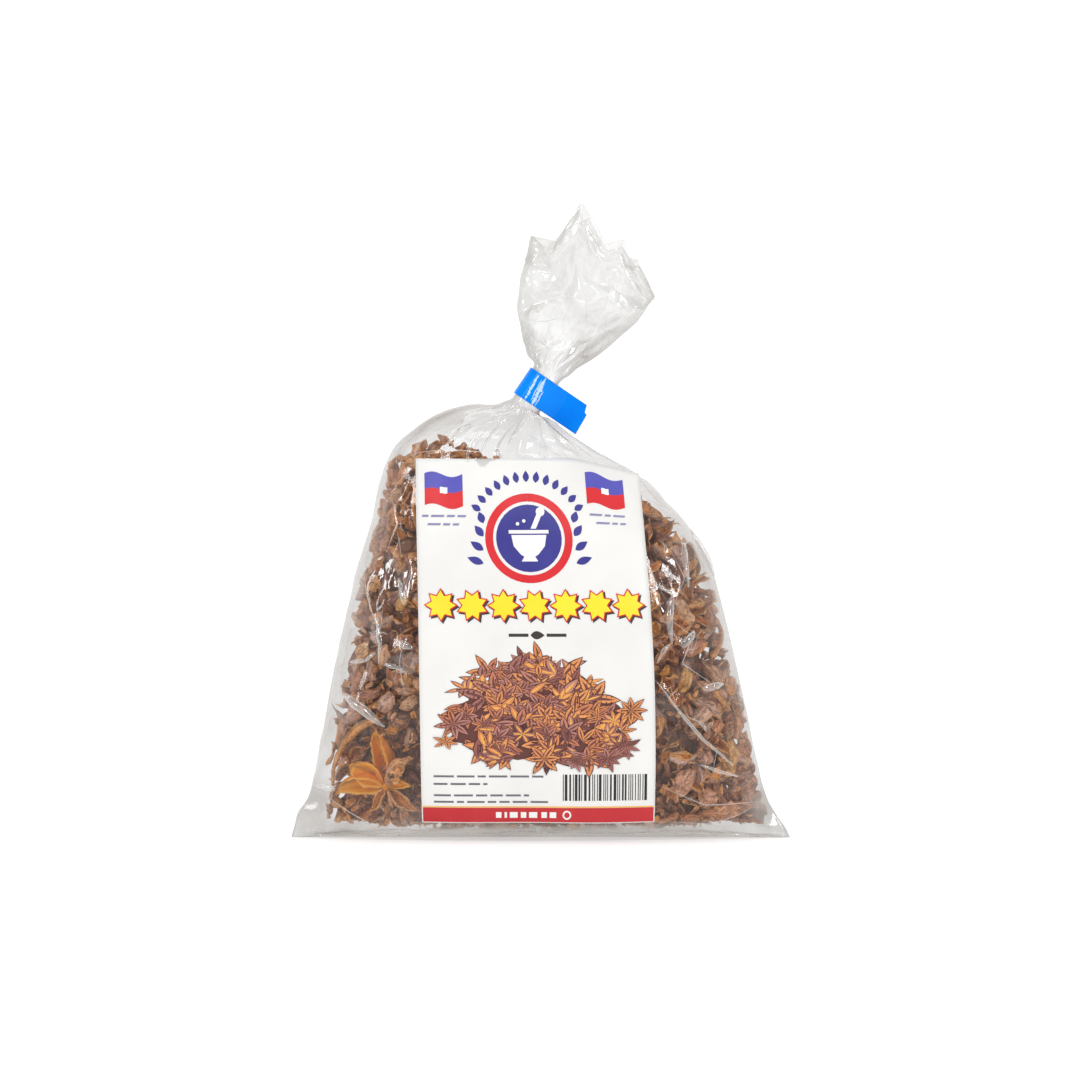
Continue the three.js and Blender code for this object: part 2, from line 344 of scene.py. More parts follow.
def random_turns(rng, count):
    """Rotation matrices spread evenly over all directions."""
    w, x, y, z = unit(rng.normal(size=(count, 4))).T
    return np.stack([1 - 2 * (y * y + z * z), 2 * (x * y - z * w), 2 * (x * z + y * w),
                     2 * (x * y + z * w), 1 - 2 * (x * x + z * z), 2 * (y * z - x * w),
                     2 * (x * z - y * w), 2 * (y * z + x * w), 1 - 2 * (x * x + y * y)], -1).reshape(-1, 3, 3)


def wrinkles(rng, along, across, size, count=7):
    """Dry wrinkles over a piece, between about -1 and 1: sharp folds about size mm apart, mostly along it."""
    total = np.zeros(np.broadcast(along, across).shape)
    for _ in range(count):
        angle = rng.normal(np.pi / 2, 0.5)
        pitch = size * rng.uniform(0.7, 1.9)
        phase = (along * math.cos(angle) + across * math.sin(angle)) / pitch * np.pi + rng.uniform(0, 6.3)
        total += 1 - 2 * np.abs(np.sin(phase + 0.7 * np.sin(along / size + rng.uniform(0, 6.3))))
    return total / math.sqrt(count)


def crush(rng, points, size, amount):
    """Pushes points here and there, with sharp folds about size mm apart."""
    moved = np.zeros(points.shape)
    for _ in range(6):
        way, push = unit(rng.normal(size=(2, 3)))
        phase = points @ way * math.pi / (size * rng.uniform(0.7, 1.5)) + rng.uniform(0, 6.3)
        moved += (1 - 2 * np.abs(np.sin(phase)))[..., None] * push
    return points + moved * amount / math.sqrt(6)


EDGE = 1.3  # stands for the edge of a wall, where 0 is its outside and 1 its inside


def shell(outer, inner_side):
    """A closed thin wall between two grids of points of the same size, rows along and columns across.
    The last thing it gives is 0 for points outside, 1 for those inside and EDGE for those at the edge."""
    rows, columns = outer.shape[:2]
    ring = np.concatenate([outer, inner_side[:, ::-1]], 1)
    quads = [grid_faces(rows, 2 * columns, wrap=True)]
    for row, flip in ((0, True), (rows - 1, False)):
        i = np.arange(columns - 1)
        start = row * 2 * columns
        across = start + 2 * columns - 1 - i
        cap = np.stack([start + i, start + i + 1, across - 1, across], -1)
        quads.append(cap[:, ::-1] if flip else cap)
    inside = np.concatenate([np.zeros((rows, columns)), np.ones((rows, columns))], 1)
    inside[:, [0, columns - 1, columns, -1]] = EDGE
    return ring.reshape(-1, 3), halved(np.concatenate(quads)), inside


def both_sides(grid):
    """The values of a grid for the two sides of a shell."""
    return np.concatenate([grid, grid[:, ::-1]], 1)


def carpel(rng, length=None, gape=None, cut=1.0, rough=1.0, shallow=1.0, broad=1.0, warp=1.0,
           rows=12, columns=9):
    """One boat-shaped arm of a pod, along +X from the middle of the pod, split open along the top (+Z)."""
    length = length or rng.uniform(7.5, 13.5)
    gape = rng.uniform(0.1, 1.0) if gape is None else gape
    width = length * rng.uniform(0.13, 0.17) * lerp(0.8, 1.5, gape) * broad
    height = length * rng.uniform(0.28, 0.40) * lerp(1.05, 0.75, gape) * shallow
    wall = rng.uniform(0.35, 0.55)
    t, a = np.meshgrid(np.linspace(0, cut, rows), np.linspace(-1, 1, columns), indexing="ij")
    swell = np.sin(np.pi * np.clip(t, 0, 1) ** 0.78) ** 0.8
    taper = (1 - t ** 6) ** 0.7
    half = width * (0.2 + 0.8 * swell) * taper
    deep = height * (0.28 * (1 - t) + 0.8 * swell) * taper
    beak = rng.uniform(0.08, 0.3) * length * np.clip(t - 0.55, 0, 1) ** 2 * 3.4
    bend = warp * rng.uniform(-0.12, 0.12) * length * t ** 2
    twist = warp * rng.uniform(-0.8, 0.8) * t
    torn = 1 + 0.2 * rough * wrinkles(rng, t * length, 3 * np.sign(a), 2.2) * np.abs(a) ** 3
    roll = (0.88 - 0.36 * gape) * torn
    around = a * height * 1.4
    creased = rough * wrinkles(rng, t * length, around, 2.2)
    flare = 0.3 * width * np.abs(a) ** 5 * np.sign(a) * swell
    lip = 0.55 * rough * wrinkles(rng, t * length, a, 3.0) * np.abs(a) ** 4

    def skin(inset, relief):
        h, d = np.maximum(half - inset, 0.04), np.maximum(deep - inset, 0.04)
        out = 1 + relief * creased / np.maximum(d, 1.2) * np.minimum(1, 8 * (1 - t))
        y = h * np.sin(a * np.pi * roll) * out + flare
        z = -d * np.cos(a * np.pi / 2) ** 0.85 * out + lip
        y, z = y * np.cos(twist) - z * np.sin(twist), y * np.sin(twist) + z * np.cos(twist)
        return np.stack([t * length, y + bend, z + beak], -1)

    points, triangles, inner = shell(skin(0, 0.34), skin(wall, 0.16))
    points = crush(rng, crush(rng, points, 7.0, 0.75 * rough), 3.2, 0.28 * rough)
    middle = height * 0.42
    balls = [(length * k * cut, 0, -middle * m) for k, m in ((0.2, 0.8), (0.5, 1.0), (0.8, 0.7))]
    radii = np.array([0.72, 0.92, 0.62]) * (width + height * 0.5) / 2
    return Shape(points, triangles, traits(inner, both_sides(t * length), both_sides(around)), balls, radii)


def flake(rng, length=None, width=None, rough=1.0, rows=8, columns=7):
    """A thin curled piece of husk, with a ragged outline."""
    length = length or rng.uniform(3.6, 7.6)
    width = width or length * rng.uniform(0.5, 0.9)
    wall = rng.uniform(0.3, 0.5)
    t, a = np.meshgrid(np.linspace(0, 1, rows), np.linspace(-1, 1, columns), indexing="ij")
    ragged = 1 + 0.2 * rough * wrinkles(rng, 3.0 * np.sign(a), t * length, 2.0)
    outline = np.maximum(0.03, 1 - (2 * t - 1) ** 2) ** 0.42 * ragged
    cup = rng.uniform(0.8, 3.0) / width * min(1, 6 / width)
    bow = rng.uniform(-0.4, 1.3) / length
    x = (t - 0.5) * length
    y = a * width / 2 * outline
    z = -cup * y ** 2 - bow * x ** 2 + 0.3 * rough * wrinkles(rng, x, y, 2.6)
    outer = np.stack([x, y, z + wall / 2 + 0.12 * rough * wrinkles(rng, x, y, 1.5)], -1)
    inner_side = np.stack([x, y * 0.96, z - wall / 2], -1)
    points, triangles, inner = shell(outer, inner_side)
    points = crush(rng, points, 3.5, 0.1 * length * rough)
    if length < 4:
        balls, r = [(0, 0, 0)], width * 0.36
    else:
        balls = [(-0.28 * length, 0, 0), (0.28 * length, 0, 0), (0, 0, 0)]
        r = min(1.7, width * 0.26)
    no_hollow = both_sides(y) + 20
    return Shape(points, triangles, traits(inner, both_sides(x), no_hollow), balls, np.full(len(balls), r))


def lump(size, rows=7, columns=9):
    """A closed ellipsoid."""
    down, around = np.meshgrid(np.linspace(0.02, 0.98, rows) * np.pi,
                               np.arange(columns) / columns * 2 * np.pi, indexing="ij")
    points = np.stack([np.sin(down) * np.cos(around), np.sin(down) * np.sin(around), np.cos(down)], -1)
    return points.reshape(-1, 3) * np.asarray(size) / 2, tube(rows, columns)[:, ::-1]


def crumb(rng):
    """A small broken bit, curled like the bigger ones."""
    return flake(rng, rng.uniform(1.8, 3.9), rows=5, columns=5)


def seed(rng):
    size = np.array([rng.uniform(5.6, 7.2), rng.uniform(3.8, 4.7), rng.uniform(2.2, 2.9)])
    points, triangles = lump(size, 9, 12)
    points[:, 1] *= 1 - 0.3 * np.clip(points[:, 0] / size[0] * 2, 0, 1)
    balls = [(-1.3, 0, 0), (1.3, 0, 0)]
    return Shape(points, triangles, traits(0.0, points[:, 0], points[:, 1]), balls, [1.7, 1.7])


def stem(rng, length=None):
    """A curved stalk, thicker and knobbed at one end."""
    length = length or rng.uniform(6.0, 16.0)
    thick = rng.uniform(0.45, 0.85)
    t = np.linspace(0, 1, 16)
    bow = rng.uniform(-0.32, 0.32) * length
    line = np.stack([(t - 0.5) * length, bow * (4 * t * (1 - t) - 0.5), 0.06 * length * np.sin(5 * t)], -1)
    return rod(rng, line, thick * (1 + 0.6 * smooth(t, 0.8, 1.0)))


def rod(rng, line, radius, sides=8):
    """A ribbed, knobbly stalk along a line, with a radius at each of its points."""
    way = unit(np.gradient(line, axis=0))
    side = unit(np.cross(way, (0.13, 0.2, 0.97)))
    above = np.cross(side, way)
    radius = radius * (1 + 0.08 * rng.normal(size=len(line)))
    radius[[0, -1]] *= 0.6
    turn = np.arange(sides) / sides * 2 * np.pi
    ribs = 1 + 0.22 * (np.arange(sides) % 2 - 0.5) * rng.uniform(0.4, 1.4, sides)
    round_it = np.cos(turn)[None, :, None] * side[:, None] + np.sin(turn)[None, :, None] * above[:, None]
    points = line[:, None] + (radius[:, None] * ribs)[..., None] * round_it
    marks = traits(0.6, run_of(line)[:, None], (turn * radius.mean())[None])
    return Shape(points.reshape(-1, 3), tube(len(line), sides), marks, line[::2], radius[::2] * 1.3)


def pod(rng, arms, **shape):
    """Arms joined round a middle, all opening towards +Z, with the knob of the stalk below. Each arm has its
    angle, its length, how far it is open, its roll, its breadth and its tilt up, the angles in degrees."""
    parts = []
    for angle, length, gape, roll, broad, tilt in arms:
        arm = carpel(rng, length, gape, broad=broad, **shape)
        angle, tilt, roll = math.radians(angle), math.radians(tilt), math.radians(roll)
        turn = turn_about("z", angle) @ turn_about("y", -tilt) @ turn_about("x", roll)
        parts.append(arm.turned(turn, (1.1 * math.cos(angle), 1.1 * math.sin(angle), 0)))
    points, triangles = lump((3.4, 3.4, 4.6))
    marks = traits(0.2, points[:, 0], points[:, 1])
    parts.append(Shape(points - (0, 0, 2.0), triangles, marks, [(0, 0, -1.5)], [2.1]))
    return joined(parts)


def random_arms(rng, count, full, lengths):
    """Arms for a pod of which full would make the whole round."""
    return [(360 * (k + rng.uniform(-0.16, 0.16)) / full, rng.uniform(*lengths), rng.uniform(0.2, 1),
             rng.normal(0, 12), 1.0, rng.uniform(8, 26)) for k in range(count)]


def whole_pod(rng):
    count = rng.integers(7, 9)
    arms = pod(rng, random_arms(rng, count, count, (8.5, 14)))
    stalk = stem(rng, rng.uniform(7, 12))
    return joined([arms, stalk.turned(turn_about("y", math.pi / 2), (0, 0, -stalk.points[:, 0].max() - 2.5))])


def broken_pod(rng):
    return pod(rng, random_arms(rng, rng.integers(2, 5), 8, (7.5, 12.5)))


def broken_carpel(rng):
    return carpel(rng, cut=rng.uniform(0.35, 0.8), rows=8)


# ---------------------------------------------------------------- dry pods: how they lie in the bag

HEAP_TOP = np.array([(-52, 104), (-44, 111), (-38, 115.5), (-30, 119), (-23, 117), (-15, 112.8), (-5, 111.6),
                     (6, 109.5), (20, 106.5), (34, 100.5), (48, 84), (60, 60)], float)
HEAP_FOOT, FOOT_RISE = 4.2, 1.2  # in the middle, and how much higher towards both ends
FILM_GAP = 0.9  # between the pieces and the bag's smooth skin
LOW_LEFT_GAP = 2.2  # more of it low at the left, where the film stands off the heap
BARE_GAP = 0.3  # the least between any point of a piece and the smooth skin
HEAP_BOX = ((-68, -25, 2), (66, 25, 117))  # the low and the high corner of a box round the heap
TONES, HUES = (1.75, 1.4), (0.9, 1.5)  # how the pieces' tones and hues spread, as beta distributions
CORE_DEPTH = 0.62  # the middle of the heap, as a share of the bag's half depth
CORE_BEHIND_LABEL = 0.9  # there it comes closer, as no piece shows
CORE_WIDTH, CORE_HEIGHT = 0.84, 0.92  # shares of the bag's
CORE_RAISED, CORE_BELOW_TOP = 3.0, 5.0
ROUNDS, QUICK_ROUNDS = 60, 12  # how often the pieces are pushed apart
PUSH, SINK, STIFF = 0.6, 0.04, 0.6  # in each round: share of an overlap, mm down, and how slowly pieces turn
KINDS = {  # how many pieces of each kind, how many different shapes they have, and what makes one
    "whole_pods": (8, 4, whole_pod),
    "broken_pods": (64, 20, broken_pod),
    "carpels": (330, 60, carpel),
    "broken_carpels": (300, 50, broken_carpel),
    "flakes": (600, 60, flake),
    "crumbs": (1320, 60, crumb),
    "seeds": (24, 5, seed),
    "stems": (56, 14, stem),
}


def bag_rings(places, columns):
    """Rings of points round the bag's smooth skin, with a number of columns across its front."""
    u = -np.cos(np.linspace(0, np.pi, columns))
    front = bag_point(places[:, None], u[None], -1)
    back = bag_point(places[:, None], u[None, 1:-1][:, ::-1], 1)
    return np.concatenate([front, back], 1)


def bag_wall():
    """The bag's skin round the contents, as a tree that finds the nearest point."""
    rings = bag_rings(np.linspace(0, NECK - 1, 70), 40)
    faces = grid_faces(*rings.shape[:2], wrap=True)
    return BVHTree.FromPolygons([tuple(p) for p in rings.reshape(-1, 3)], faces.tolist())


def heap_top(x):
    return np.interp(x, HEAP_TOP[:, 0], HEAP_TOP[:, 1])


def heap_foot(x):
    """The pods' lowest height: under them lies the folded foot of the bag."""
    return HEAP_FOOT + FOOT_RISE * smooth(np.abs(x), 36, 58)


def hold_in(points, radii, wall, margin=FILM_GAP):
    """Moves balls, or bare points of radius 0, back inside the wall, the foot and the top of the heap, in
    place. Bare points may hang a little below the foot."""
    low_left = LOW_LEFT_GAP * smooth(-points[:, 0], 42, 56) * (1 - smooth(points[:, 2], 66, 90))
    for k, (p, r) in enumerate(zip(points, radii + (margin + low_left * (radii > 0)))):
        near, normal, _, _ = wall.find_nearest(p)
        out = (Vector(p) - near).dot(normal) + r
        if out > 0:
            points[k] -= np.array(normal) * out
    points[:, 2] = np.minimum(points[:, 2], heap_top(points[:, 0]) - radii)
    loose = lerp(0.7, 2.0, smooth(np.abs(points[:, 0]), 30, 44)) * (radii == 0)
    points[:, 2] = np.maximum(points[:, 2], radii + heap_foot(points[:, 0]) - loose)


def behind_label(x, y, z):
    """1 well behind the label, where nothing of the heap shows."""
    inside_x = smooth(x, -30.0, -24.0) * (1 - smooth(x, 20.0, 26.0))
    return inside_x * smooth(z, 8, 16) * (1 - smooth(z, 96, 104)) * (y < 0)


def build_core():
    """The middle of the heap: its pieces are never seen whole, only as lumps between the outer ones."""
    rng = np.random.default_rng(8)
    points = bag_rings(np.linspace(1.5, NECK - 4, 60), 45)
    rows, columns = points.shape[:2]
    lumps = wrinkles(rng, points[..., 0] + 2 * points[..., 1], points[..., 2], 6.5, count=9)
    depth = lerp(CORE_DEPTH, CORE_BEHIND_LABEL, behind_label(*points.transpose(2, 0, 1)))
    points *= np.stack([0 * depth + CORE_WIDTH, depth, 0 * depth + CORE_HEIGHT], -1)
    points += grid_normals(points) * 1.2 * lumps[..., None]
    points[..., 2] = np.clip(points[..., 2] + CORE_RAISED, 5, heap_top(points[..., 0]) - CORE_BELOW_TOP)
    ends = [points[0] * (1, 0.02, 1), points[-1] * (1, 0.02, 1)]
    points = np.concatenate([ends[:1], points, ends[1:]])
    flat = points.reshape(-1, 3)
    plain = np.ones(len(flat))
    return mesh_object("heap_core", flat, grid_faces(rows + 2, columns, wrap=True), HUSK, inner=0 * plain,
                       tone=0.25 * plain, hue=0.35 * plain, along=flat[:, 2], around=flat[:, 0])


def close_pairs(points, radii, owner, spare):
    """Pairs of balls of different pieces that touch or nearly touch."""
    tree = KDTree(len(points))
    for k, p in enumerate(points):
        tree.insert(p, k)
    tree.balance()
    reach = radii.max() + spare
    pairs = []
    for k, p in enumerate(points):
        pairs += [(k, j) for _, j, d in tree.find_range(p, radii[k] + reach)
                  if j > k and owner[j] != owner[k] and d < radii[k] + radii[j] + spare]
    return np.array(pairs)


def scattered_places(rng, count):
    """Places for pieces in the bag, outside the heap's middle."""
    found = np.empty((0, 3))
    while len(found) < count:
        p = rng.uniform(*HEAP_BOX, (4000, 3))
        x, y, z = p.T
        depth = front_depth(x, z)
        clear = (np.abs(y) < depth - 2) & (z < heap_top(x) - 2) & (behind_label(x, y, z) < 0.5)
        core = CORE_DEPTH * front_depth(x / CORE_WIDTH, CORE_RAISED + (z - 9) / CORE_HEIGHT)
        clear &= np.abs(y) > np.where(z < heap_top(x) - CORE_BELOW_TOP, core, 0) - 1
        found = np.concatenate([found, p[clear]])
    return found[:count]


def settle(shapes, placed, rng, wall, rounds):
    """Lets the pieces push each other apart inside the bag, each one kept rigid. placed gives the
    turn and place of the pieces that stay where they are, by number. Returns turns and places."""
    count = len(shapes)
    owner = np.repeat(np.arange(count), [len(s.radii) for s in shapes])
    radii = np.concatenate([s.radii for s in shapes])
    starts = np.concatenate([[0], np.cumsum([len(s.radii) for s in shapes])[:-1]])
    local = np.concatenate([s.balls for s in shapes])
    size = np.add.reduceat(np.ones(len(owner)), starts)
    middle = np.add.reduceat(local, starts) / size[:, None]
    offsets = local - middle[owner]

    turns = random_turns(rng, count)
    centres = scattered_places(rng, count)
    for k, (turn, place) in placed.items():
        turns[k], centres[k] = turn, np.asarray(place) + turn @ middle[k]
    fixed = np.isin(owner, list(placed))
    points = centres[owner] + np.einsum("nij,nj->ni", turns[owner], offsets)
    home = points.copy()

    for step in range(rounds):
        if step % 5 == 0:
            pairs = close_pairs(points, radii, owner, spare=1.2)
        i, j = pairs.T
        apart = points[i] - points[j]
        gap = np.linalg.norm(apart, axis=1) + 1e-6
        push = np.maximum(0, radii[i] + radii[j] - gap) * 0.5 / gap
        push = apart * push[:, None]
        for axis in range(3):
            points[:, axis] += np.bincount(i, push[:, axis], len(points)) * PUSH
            points[:, axis] -= np.bincount(j, push[:, axis], len(points)) * PUSH
        points[:, 2] -= SINK
        hold_in(points, radii, wall)
        points[fixed] = home[fixed]
        centres = np.add.reduceat(points, starts) / size[:, None]
        spread = np.einsum("ni,nj->nij", points - centres[owner], offsets)
        spread = np.add.reduceat(spread, starts) + turns * STIFF
        left, _, right = np.linalg.svd(spread)
        flip = np.linalg.det(left @ right) < 0
        left[flip, :, 2] *= -1
        turns = left @ right
        points = centres[owner] + np.einsum("nij,nj->ni", turns[owner], offsets)
    for k, (turn, _) in placed.items():
        turns[k] = turn
    return turns, centres - np.einsum("nij,nj->ni", turns, middle)


def facing_out(x, z):
    """The turn that lays a piece's XY plane along the bag's front at x, z, its +Z towards the film."""
    here, step = off_front(x, z, 0.0), 2.0
    out = here - off_front(x, z, -1.0)
    right = off_front(x + step, z, 0.0) - off_front(x - step, z, 0.0)
    out, right = unit(out), unit(right)
    return np.stack([right, np.cross(out, right), out], -1)


def guarded(shape, reach, height=2.6):
    """A shape with more balls in front of it (+Z), so that no other piece comes to lie over it."""
    spots = np.mgrid[-reach:reach + 1:4.0, -reach:reach + 1:4.0].reshape(2, -1).T
    spots = spots[np.linalg.norm(spots, axis=1) <= reach]
    balls = np.concatenate([shape.balls, np.column_stack([spots, np.full(len(spots), height)])])
    radii = np.concatenate([shape.radii, np.full(len(spots), 2.4)])
    return Shape(shape.points, shape.triangles, shape.traits, balls, radii)


# The star that shows low on the left: each arm's angle, length, opening, roll, breadth and tilt.
STAR_ARMS = [(98, 17.4, -0.15, -4, 1.55, 4), (148, 13.6, 0.6, -22, 1.7, 9), (181, 16.8, 0.45, -30, 1.0, 0),
             (6, 8.4, 0.5, 30, 1.3, 3)]
STAR_DULL_ARMS = [(234, 8.8, 0.25, 6, 1.2, 2), (285, 6.0, 0.3, 150, 1.0, 0), (320, 12.6, 0.4, -50, 0.9, 2),
                  (46, 12.0, 0.5, 125, 1.5, 2)]
STAR_PLACE = (-46.2, 15.4)
# How far off the bag's smooth front the pieces that show best lie, in mm.
STAR_OFF, STAR_DULL_OFF, STALK_OFF, BIT_OFF = -2.0, -2.3, -2.4, -1.9
STALK_LINE = [(-62.6, 15.4), (-62.6, 20.0), (-61.2, 24.7), (-58.8, 28.8), (-54.6, 33.2), (-49.2, 35.8)]
STALK_RADII = [0.45, 0.6, 0.75, 0.95, 1.3, 1.1]
# Near the middle of a piece that shows well nothing may hide it: how far round, and from what depth on.
CLEARED = {"whole_pods": (14, -2.0), "flakes": (3.4, -0.5)}
# Bits that show well at the front: x, z, length, width, lean in degrees, tone and hue.
FRONT_BITS = [
    (58.8, 23.4, 10.8, 8.4, 80, 0.95, 1.0), (43.6, 16.6, 8.6, 7.6, 60, 0.6, 0.35),
    (50.8, 11.8, 6.8, 6.2, 10, 0.6, 0.3), (58.4, 8.0, 16.0, 5.4, 8, 0.6, 0.5),
    (-54.7, 55.9, 6.6, 5.4, 20, 0.95, 0.7), (-58.0, 37.0, 6.0, 5.0, 70, 0.6, 0.2),
    (-42.2, 70.2, 5.4, 4.0, 50, 1.0, 1.0), (-51.2, 76.0, 6.4, 4.4, 30, 0.85, 0.85),
    (44.7, 47.2, 7.6, 4.6, 75, 1.0, 1.0), (34.6, 70.6, 7.0, 5.0, 60, 0.9, 0.95),
    (44.7, 67.6, 9.6, 5.6, -50, 0.85, 0.6), (48.8, 69.8, 8.0, 3.2, 4, 0.8, 0.9),
    (-47.6, 54.6, 6.4, 4.6, 80, 0.75, 0.6), (-46.6, 40.6, 7.0, 5.6, 40, 0.72, 0.05),
    (35.6, 33.4, 6.4, 4.8, 70, 0.8, 0.9), (-49.6, 66.0, 5.4, 4.0, 10, 0.7, 0.4),
    (-33.0, 114.6, 8.0, 5.0, 30, 0.7, 0.7), (-45.6, 101.0, 7.0, 4.6, 70, 0.8, 0.5),
    (-42.8, 107.6, 7.2, 5.2, 60, 0.7, 0.65), (-46.2, 94.4, 7.4, 4.8, 82, 0.7, 0.8),
    (-48.0, 88.0, 6.6, 4.8, 70, 0.55, 0.4), (-38.4, 112.4, 7.0, 4.8, 35, 0.75, 0.8),
    (62.6, 27.8, 7.4, 4.6, 84, 0.5, 0.5), (64.4, 14.4, 7.0, 5.0, 70, 0.55, 0.3),
    (-56.2, 47.0, 6.8, 4.8, 75, 0.45, 0.35), (-50.4, 82.4, 6.4, 4.6, 80, 0.5, 0.6),
]


def hero_pieces():
    """The pieces that show best at the front: each one's kind, shape, turn, place, tone and hue."""
    rng = np.random.default_rng(5)
    turn = facing_out(*STAR_PLACE)
    star = pod(rng, STAR_ARMS, rough=0.45, shallow=0.85, warp=0.25, rows=26, columns=17)
    dull = pod(rng, STAR_DULL_ARMS, rough=0.6, shallow=0.85, warp=0.4, rows=22, columns=13)
    heroes = [("whole_pods", guarded(star, 17), turn, off_front(*STAR_PLACE, STAR_OFF), 1.0, 1.5),
              ("whole_pods", dull, turn, off_front(*STAR_PLACE, STAR_DULL_OFF), 0.72, 0.75)]
    line = closely_spaced(STALK_LINE, 0.9)
    radius = np.interp(line[:, 1], np.array(STALK_LINE)[:, 1], STALK_RADII)
    line = off_front(line[:, 0], line[:, 1], STALK_OFF)
    stalk = rod(rng, line, radius, sides=14)
    stalk.balls, stalk.radii = stalk.balls - (0, 1.2, 0), stalk.radii + 1.2
    heroes.append(("stems", stalk, np.eye(3), np.zeros(3), 0.85, 0.85))
    for x, z, long, wide, lean, tone, hue in FRONT_BITS:
        bit = flake(rng, long, wide, rough=0.6, rows=15, columns=12)
        turn = facing_out(x, z) @ turn_about("z", math.radians(lean))
        heroes.append(("flakes", guarded(bit, long / 3), turn, off_front(x, z, BIT_OFF), tone, hue))
    return heroes


# Rows of bits along the edges: the edge, the way inwards, the heights, and mm from the edge.
LEFT_EDGE, RIGHT_EDGE = BODY[:, :2], BODY[:, 2:4]
EDGE_ROWS = [(LEFT_EDGE, 1, 64, 109, 2.0), (RIGHT_EDGE, -1, 9, 46, 1.6), (RIGHT_EDGE, -1, 10, 46, 4.4),
             (RIGHT_EDGE, -1, 9, 34, 7.2)]
EDGE_STEP, CREST_STEP = 2.6, 1.6  # mm from bit to bit


def edge_bits():
    """Bits that lie flat along the bag's two edges, where it is too narrow for the rest, and small ones
    along the heap's crest. Each is given as for hero_pieces."""
    rng = np.random.default_rng(6)
    for edge, inwards, low, high, nearest in EDGE_ROWS:
        for z in np.arange(low, high, EDGE_STEP):
            x = np.interp(z, edge[:, 1], edge[:, 0]) + inwards * (nearest + rng.uniform(0, EDGE_STEP))
            bit = flake(rng, rng.uniform(4.0, 7.5), rough=0.8)
            turn = turn_about("x", math.pi / 2) @ turn_about("z", rng.uniform(0, 6.3))
            yield "flakes", bit, turn, np.array([x, 0.0, z]), rng.uniform(0.3, 0.9), rng.uniform(0, 1)
    crest = np.arange(-46, -12, CREST_STEP)
    for x, turn in zip(crest, random_turns(rng, len(crest))):
        bit = flake(rng, rng.uniform(3.0, 5.5))
        place = np.array([x, rng.uniform(-6, -1), heap_top(x) - rng.uniform(1.0, 2.4)])
        yield "flakes", bit, turn, place, rng.uniform(0.3, 0.9), rng.uniform(0.2, 1)


def hides(points, turn, place, reach, depth):
    """Whether any of the points lies in front of a depth in a piece, nearer to its middle than reach."""
    across, up, out = ((points - place) @ turn).T
    return np.any((across ** 2 + up ** 2 < reach ** 2) & (out > depth))


def fill_bag():
    """Every piece of the contents, joined into one object for each kind."""
    rng = np.random.default_rng(20)
    heroes = hero_pieces()
    laid = heroes + list(edge_bits())
    kinds = [piece[0] for piece in laid]
    shapes = [piece[1] for piece in laid]
    placed = {k: piece[2:4] for k, piece in enumerate(laid)}
    for kind, (count, variety, make) in KINDS.items():
        made = [make(rng) for _ in range(variety)]
        kinds += [kind] * count
        shapes += [made[k % variety] for k in range(count)]
    wall = bag_wall()
    turns, places = settle(shapes, placed, rng, wall, ROUNDS)
    clear = [(turns[k], places[k], *CLEARED[kinds[k]]) for k in range(len(heroes)) if kinds[k] in CLEARED]
    hiding = {k for k in range(len(laid), len(shapes))
              if any(hides(shapes[k].turned(turns[k], places[k]).points, *face) for face in clear)}
    tones, hues = rng.beta(*TONES, len(shapes)), rng.beta(*HUES, len(shapes))
    for k, piece in enumerate(laid):
        tones[k], hues[k] = piece[4:]
    for kind in KINDS:
        mine = [k for k, name in enumerate(kinds) if name == kind and k not in hiding]
        parts = [shapes[k].turned(turns[k], places[k]) for k in mine]
        whole = joined(parts)
        points = whole.points.copy()
        hold_in(points, np.zeros(len(points)), wall, margin=BARE_GAP)
        sizes = [len(p.points) for p in parts]
        inner, along, around = whole.traits.T
        yield mesh_object(kind, points, whole.triangles, SEED_SKIN if kind == "seeds" else HUSK,
                          tone=np.repeat(tones[mine], sizes), hue=np.repeat(hues[mine], sizes),
                          inner=inner, along=along, around=around)


# ---------------------------------------------------------------- the film

FLAT_HALF = 76.0  # half the width of the bag when it is flat
AROUND = 4 * FLAT_HALF
FILM_COLUMNS = 376  # all the way round
FILM_ROW, FAN_ROW = 0.85, 0.55  # mm from row to row
LINE_STEP = 0.8  # mm from point to point of a crease or fold
DEEPEST, HIGHEST = (-0.9, -3.1), (2.4, 4.0)  # off the film's smooth skin, in the body and in the fan
FAN_SQUEEZE, SHOULDER_SQUEEZE = 4.3, 2.2  # how many times narrower than the flat film they are
BOTTOM_LIFT = 2.2  # the lower edges in the middle are tucked up a little off the floor
FILM_PARTS = {"film": (0, NECK + 0.5, FILM_ROW), "film_fan": (NECK + 0.5, RIM + 1, FAN_ROW)}

# Facets of the film: about how far apart their corners are, across and up, and how much the film is drawn
# together where they are. The nets are drawn at random in this order.
NETS = {
    "broad": (27, 31),
    "middle": (9.5, 11),
    "fine": (3.6, 4.2),
    "gathers": (8, 30),
    "wide": (14, 13, FAN_SQUEEZE),
    "cross": (7.5, 7.5, FAN_SQUEEZE),
    "small": (4.0, 4.4, FAN_SQUEEZE),
    "tiny": (2.1, 2.4, FAN_SQUEEZE),
    "patches": (8, 8.5, SHOULDER_SQUEEZE),
    "creased": (4, 4.5, SHOULDER_SQUEEZE),
    "streaks": (32, 2.6),
    "uprights": (4.2, 16),
}

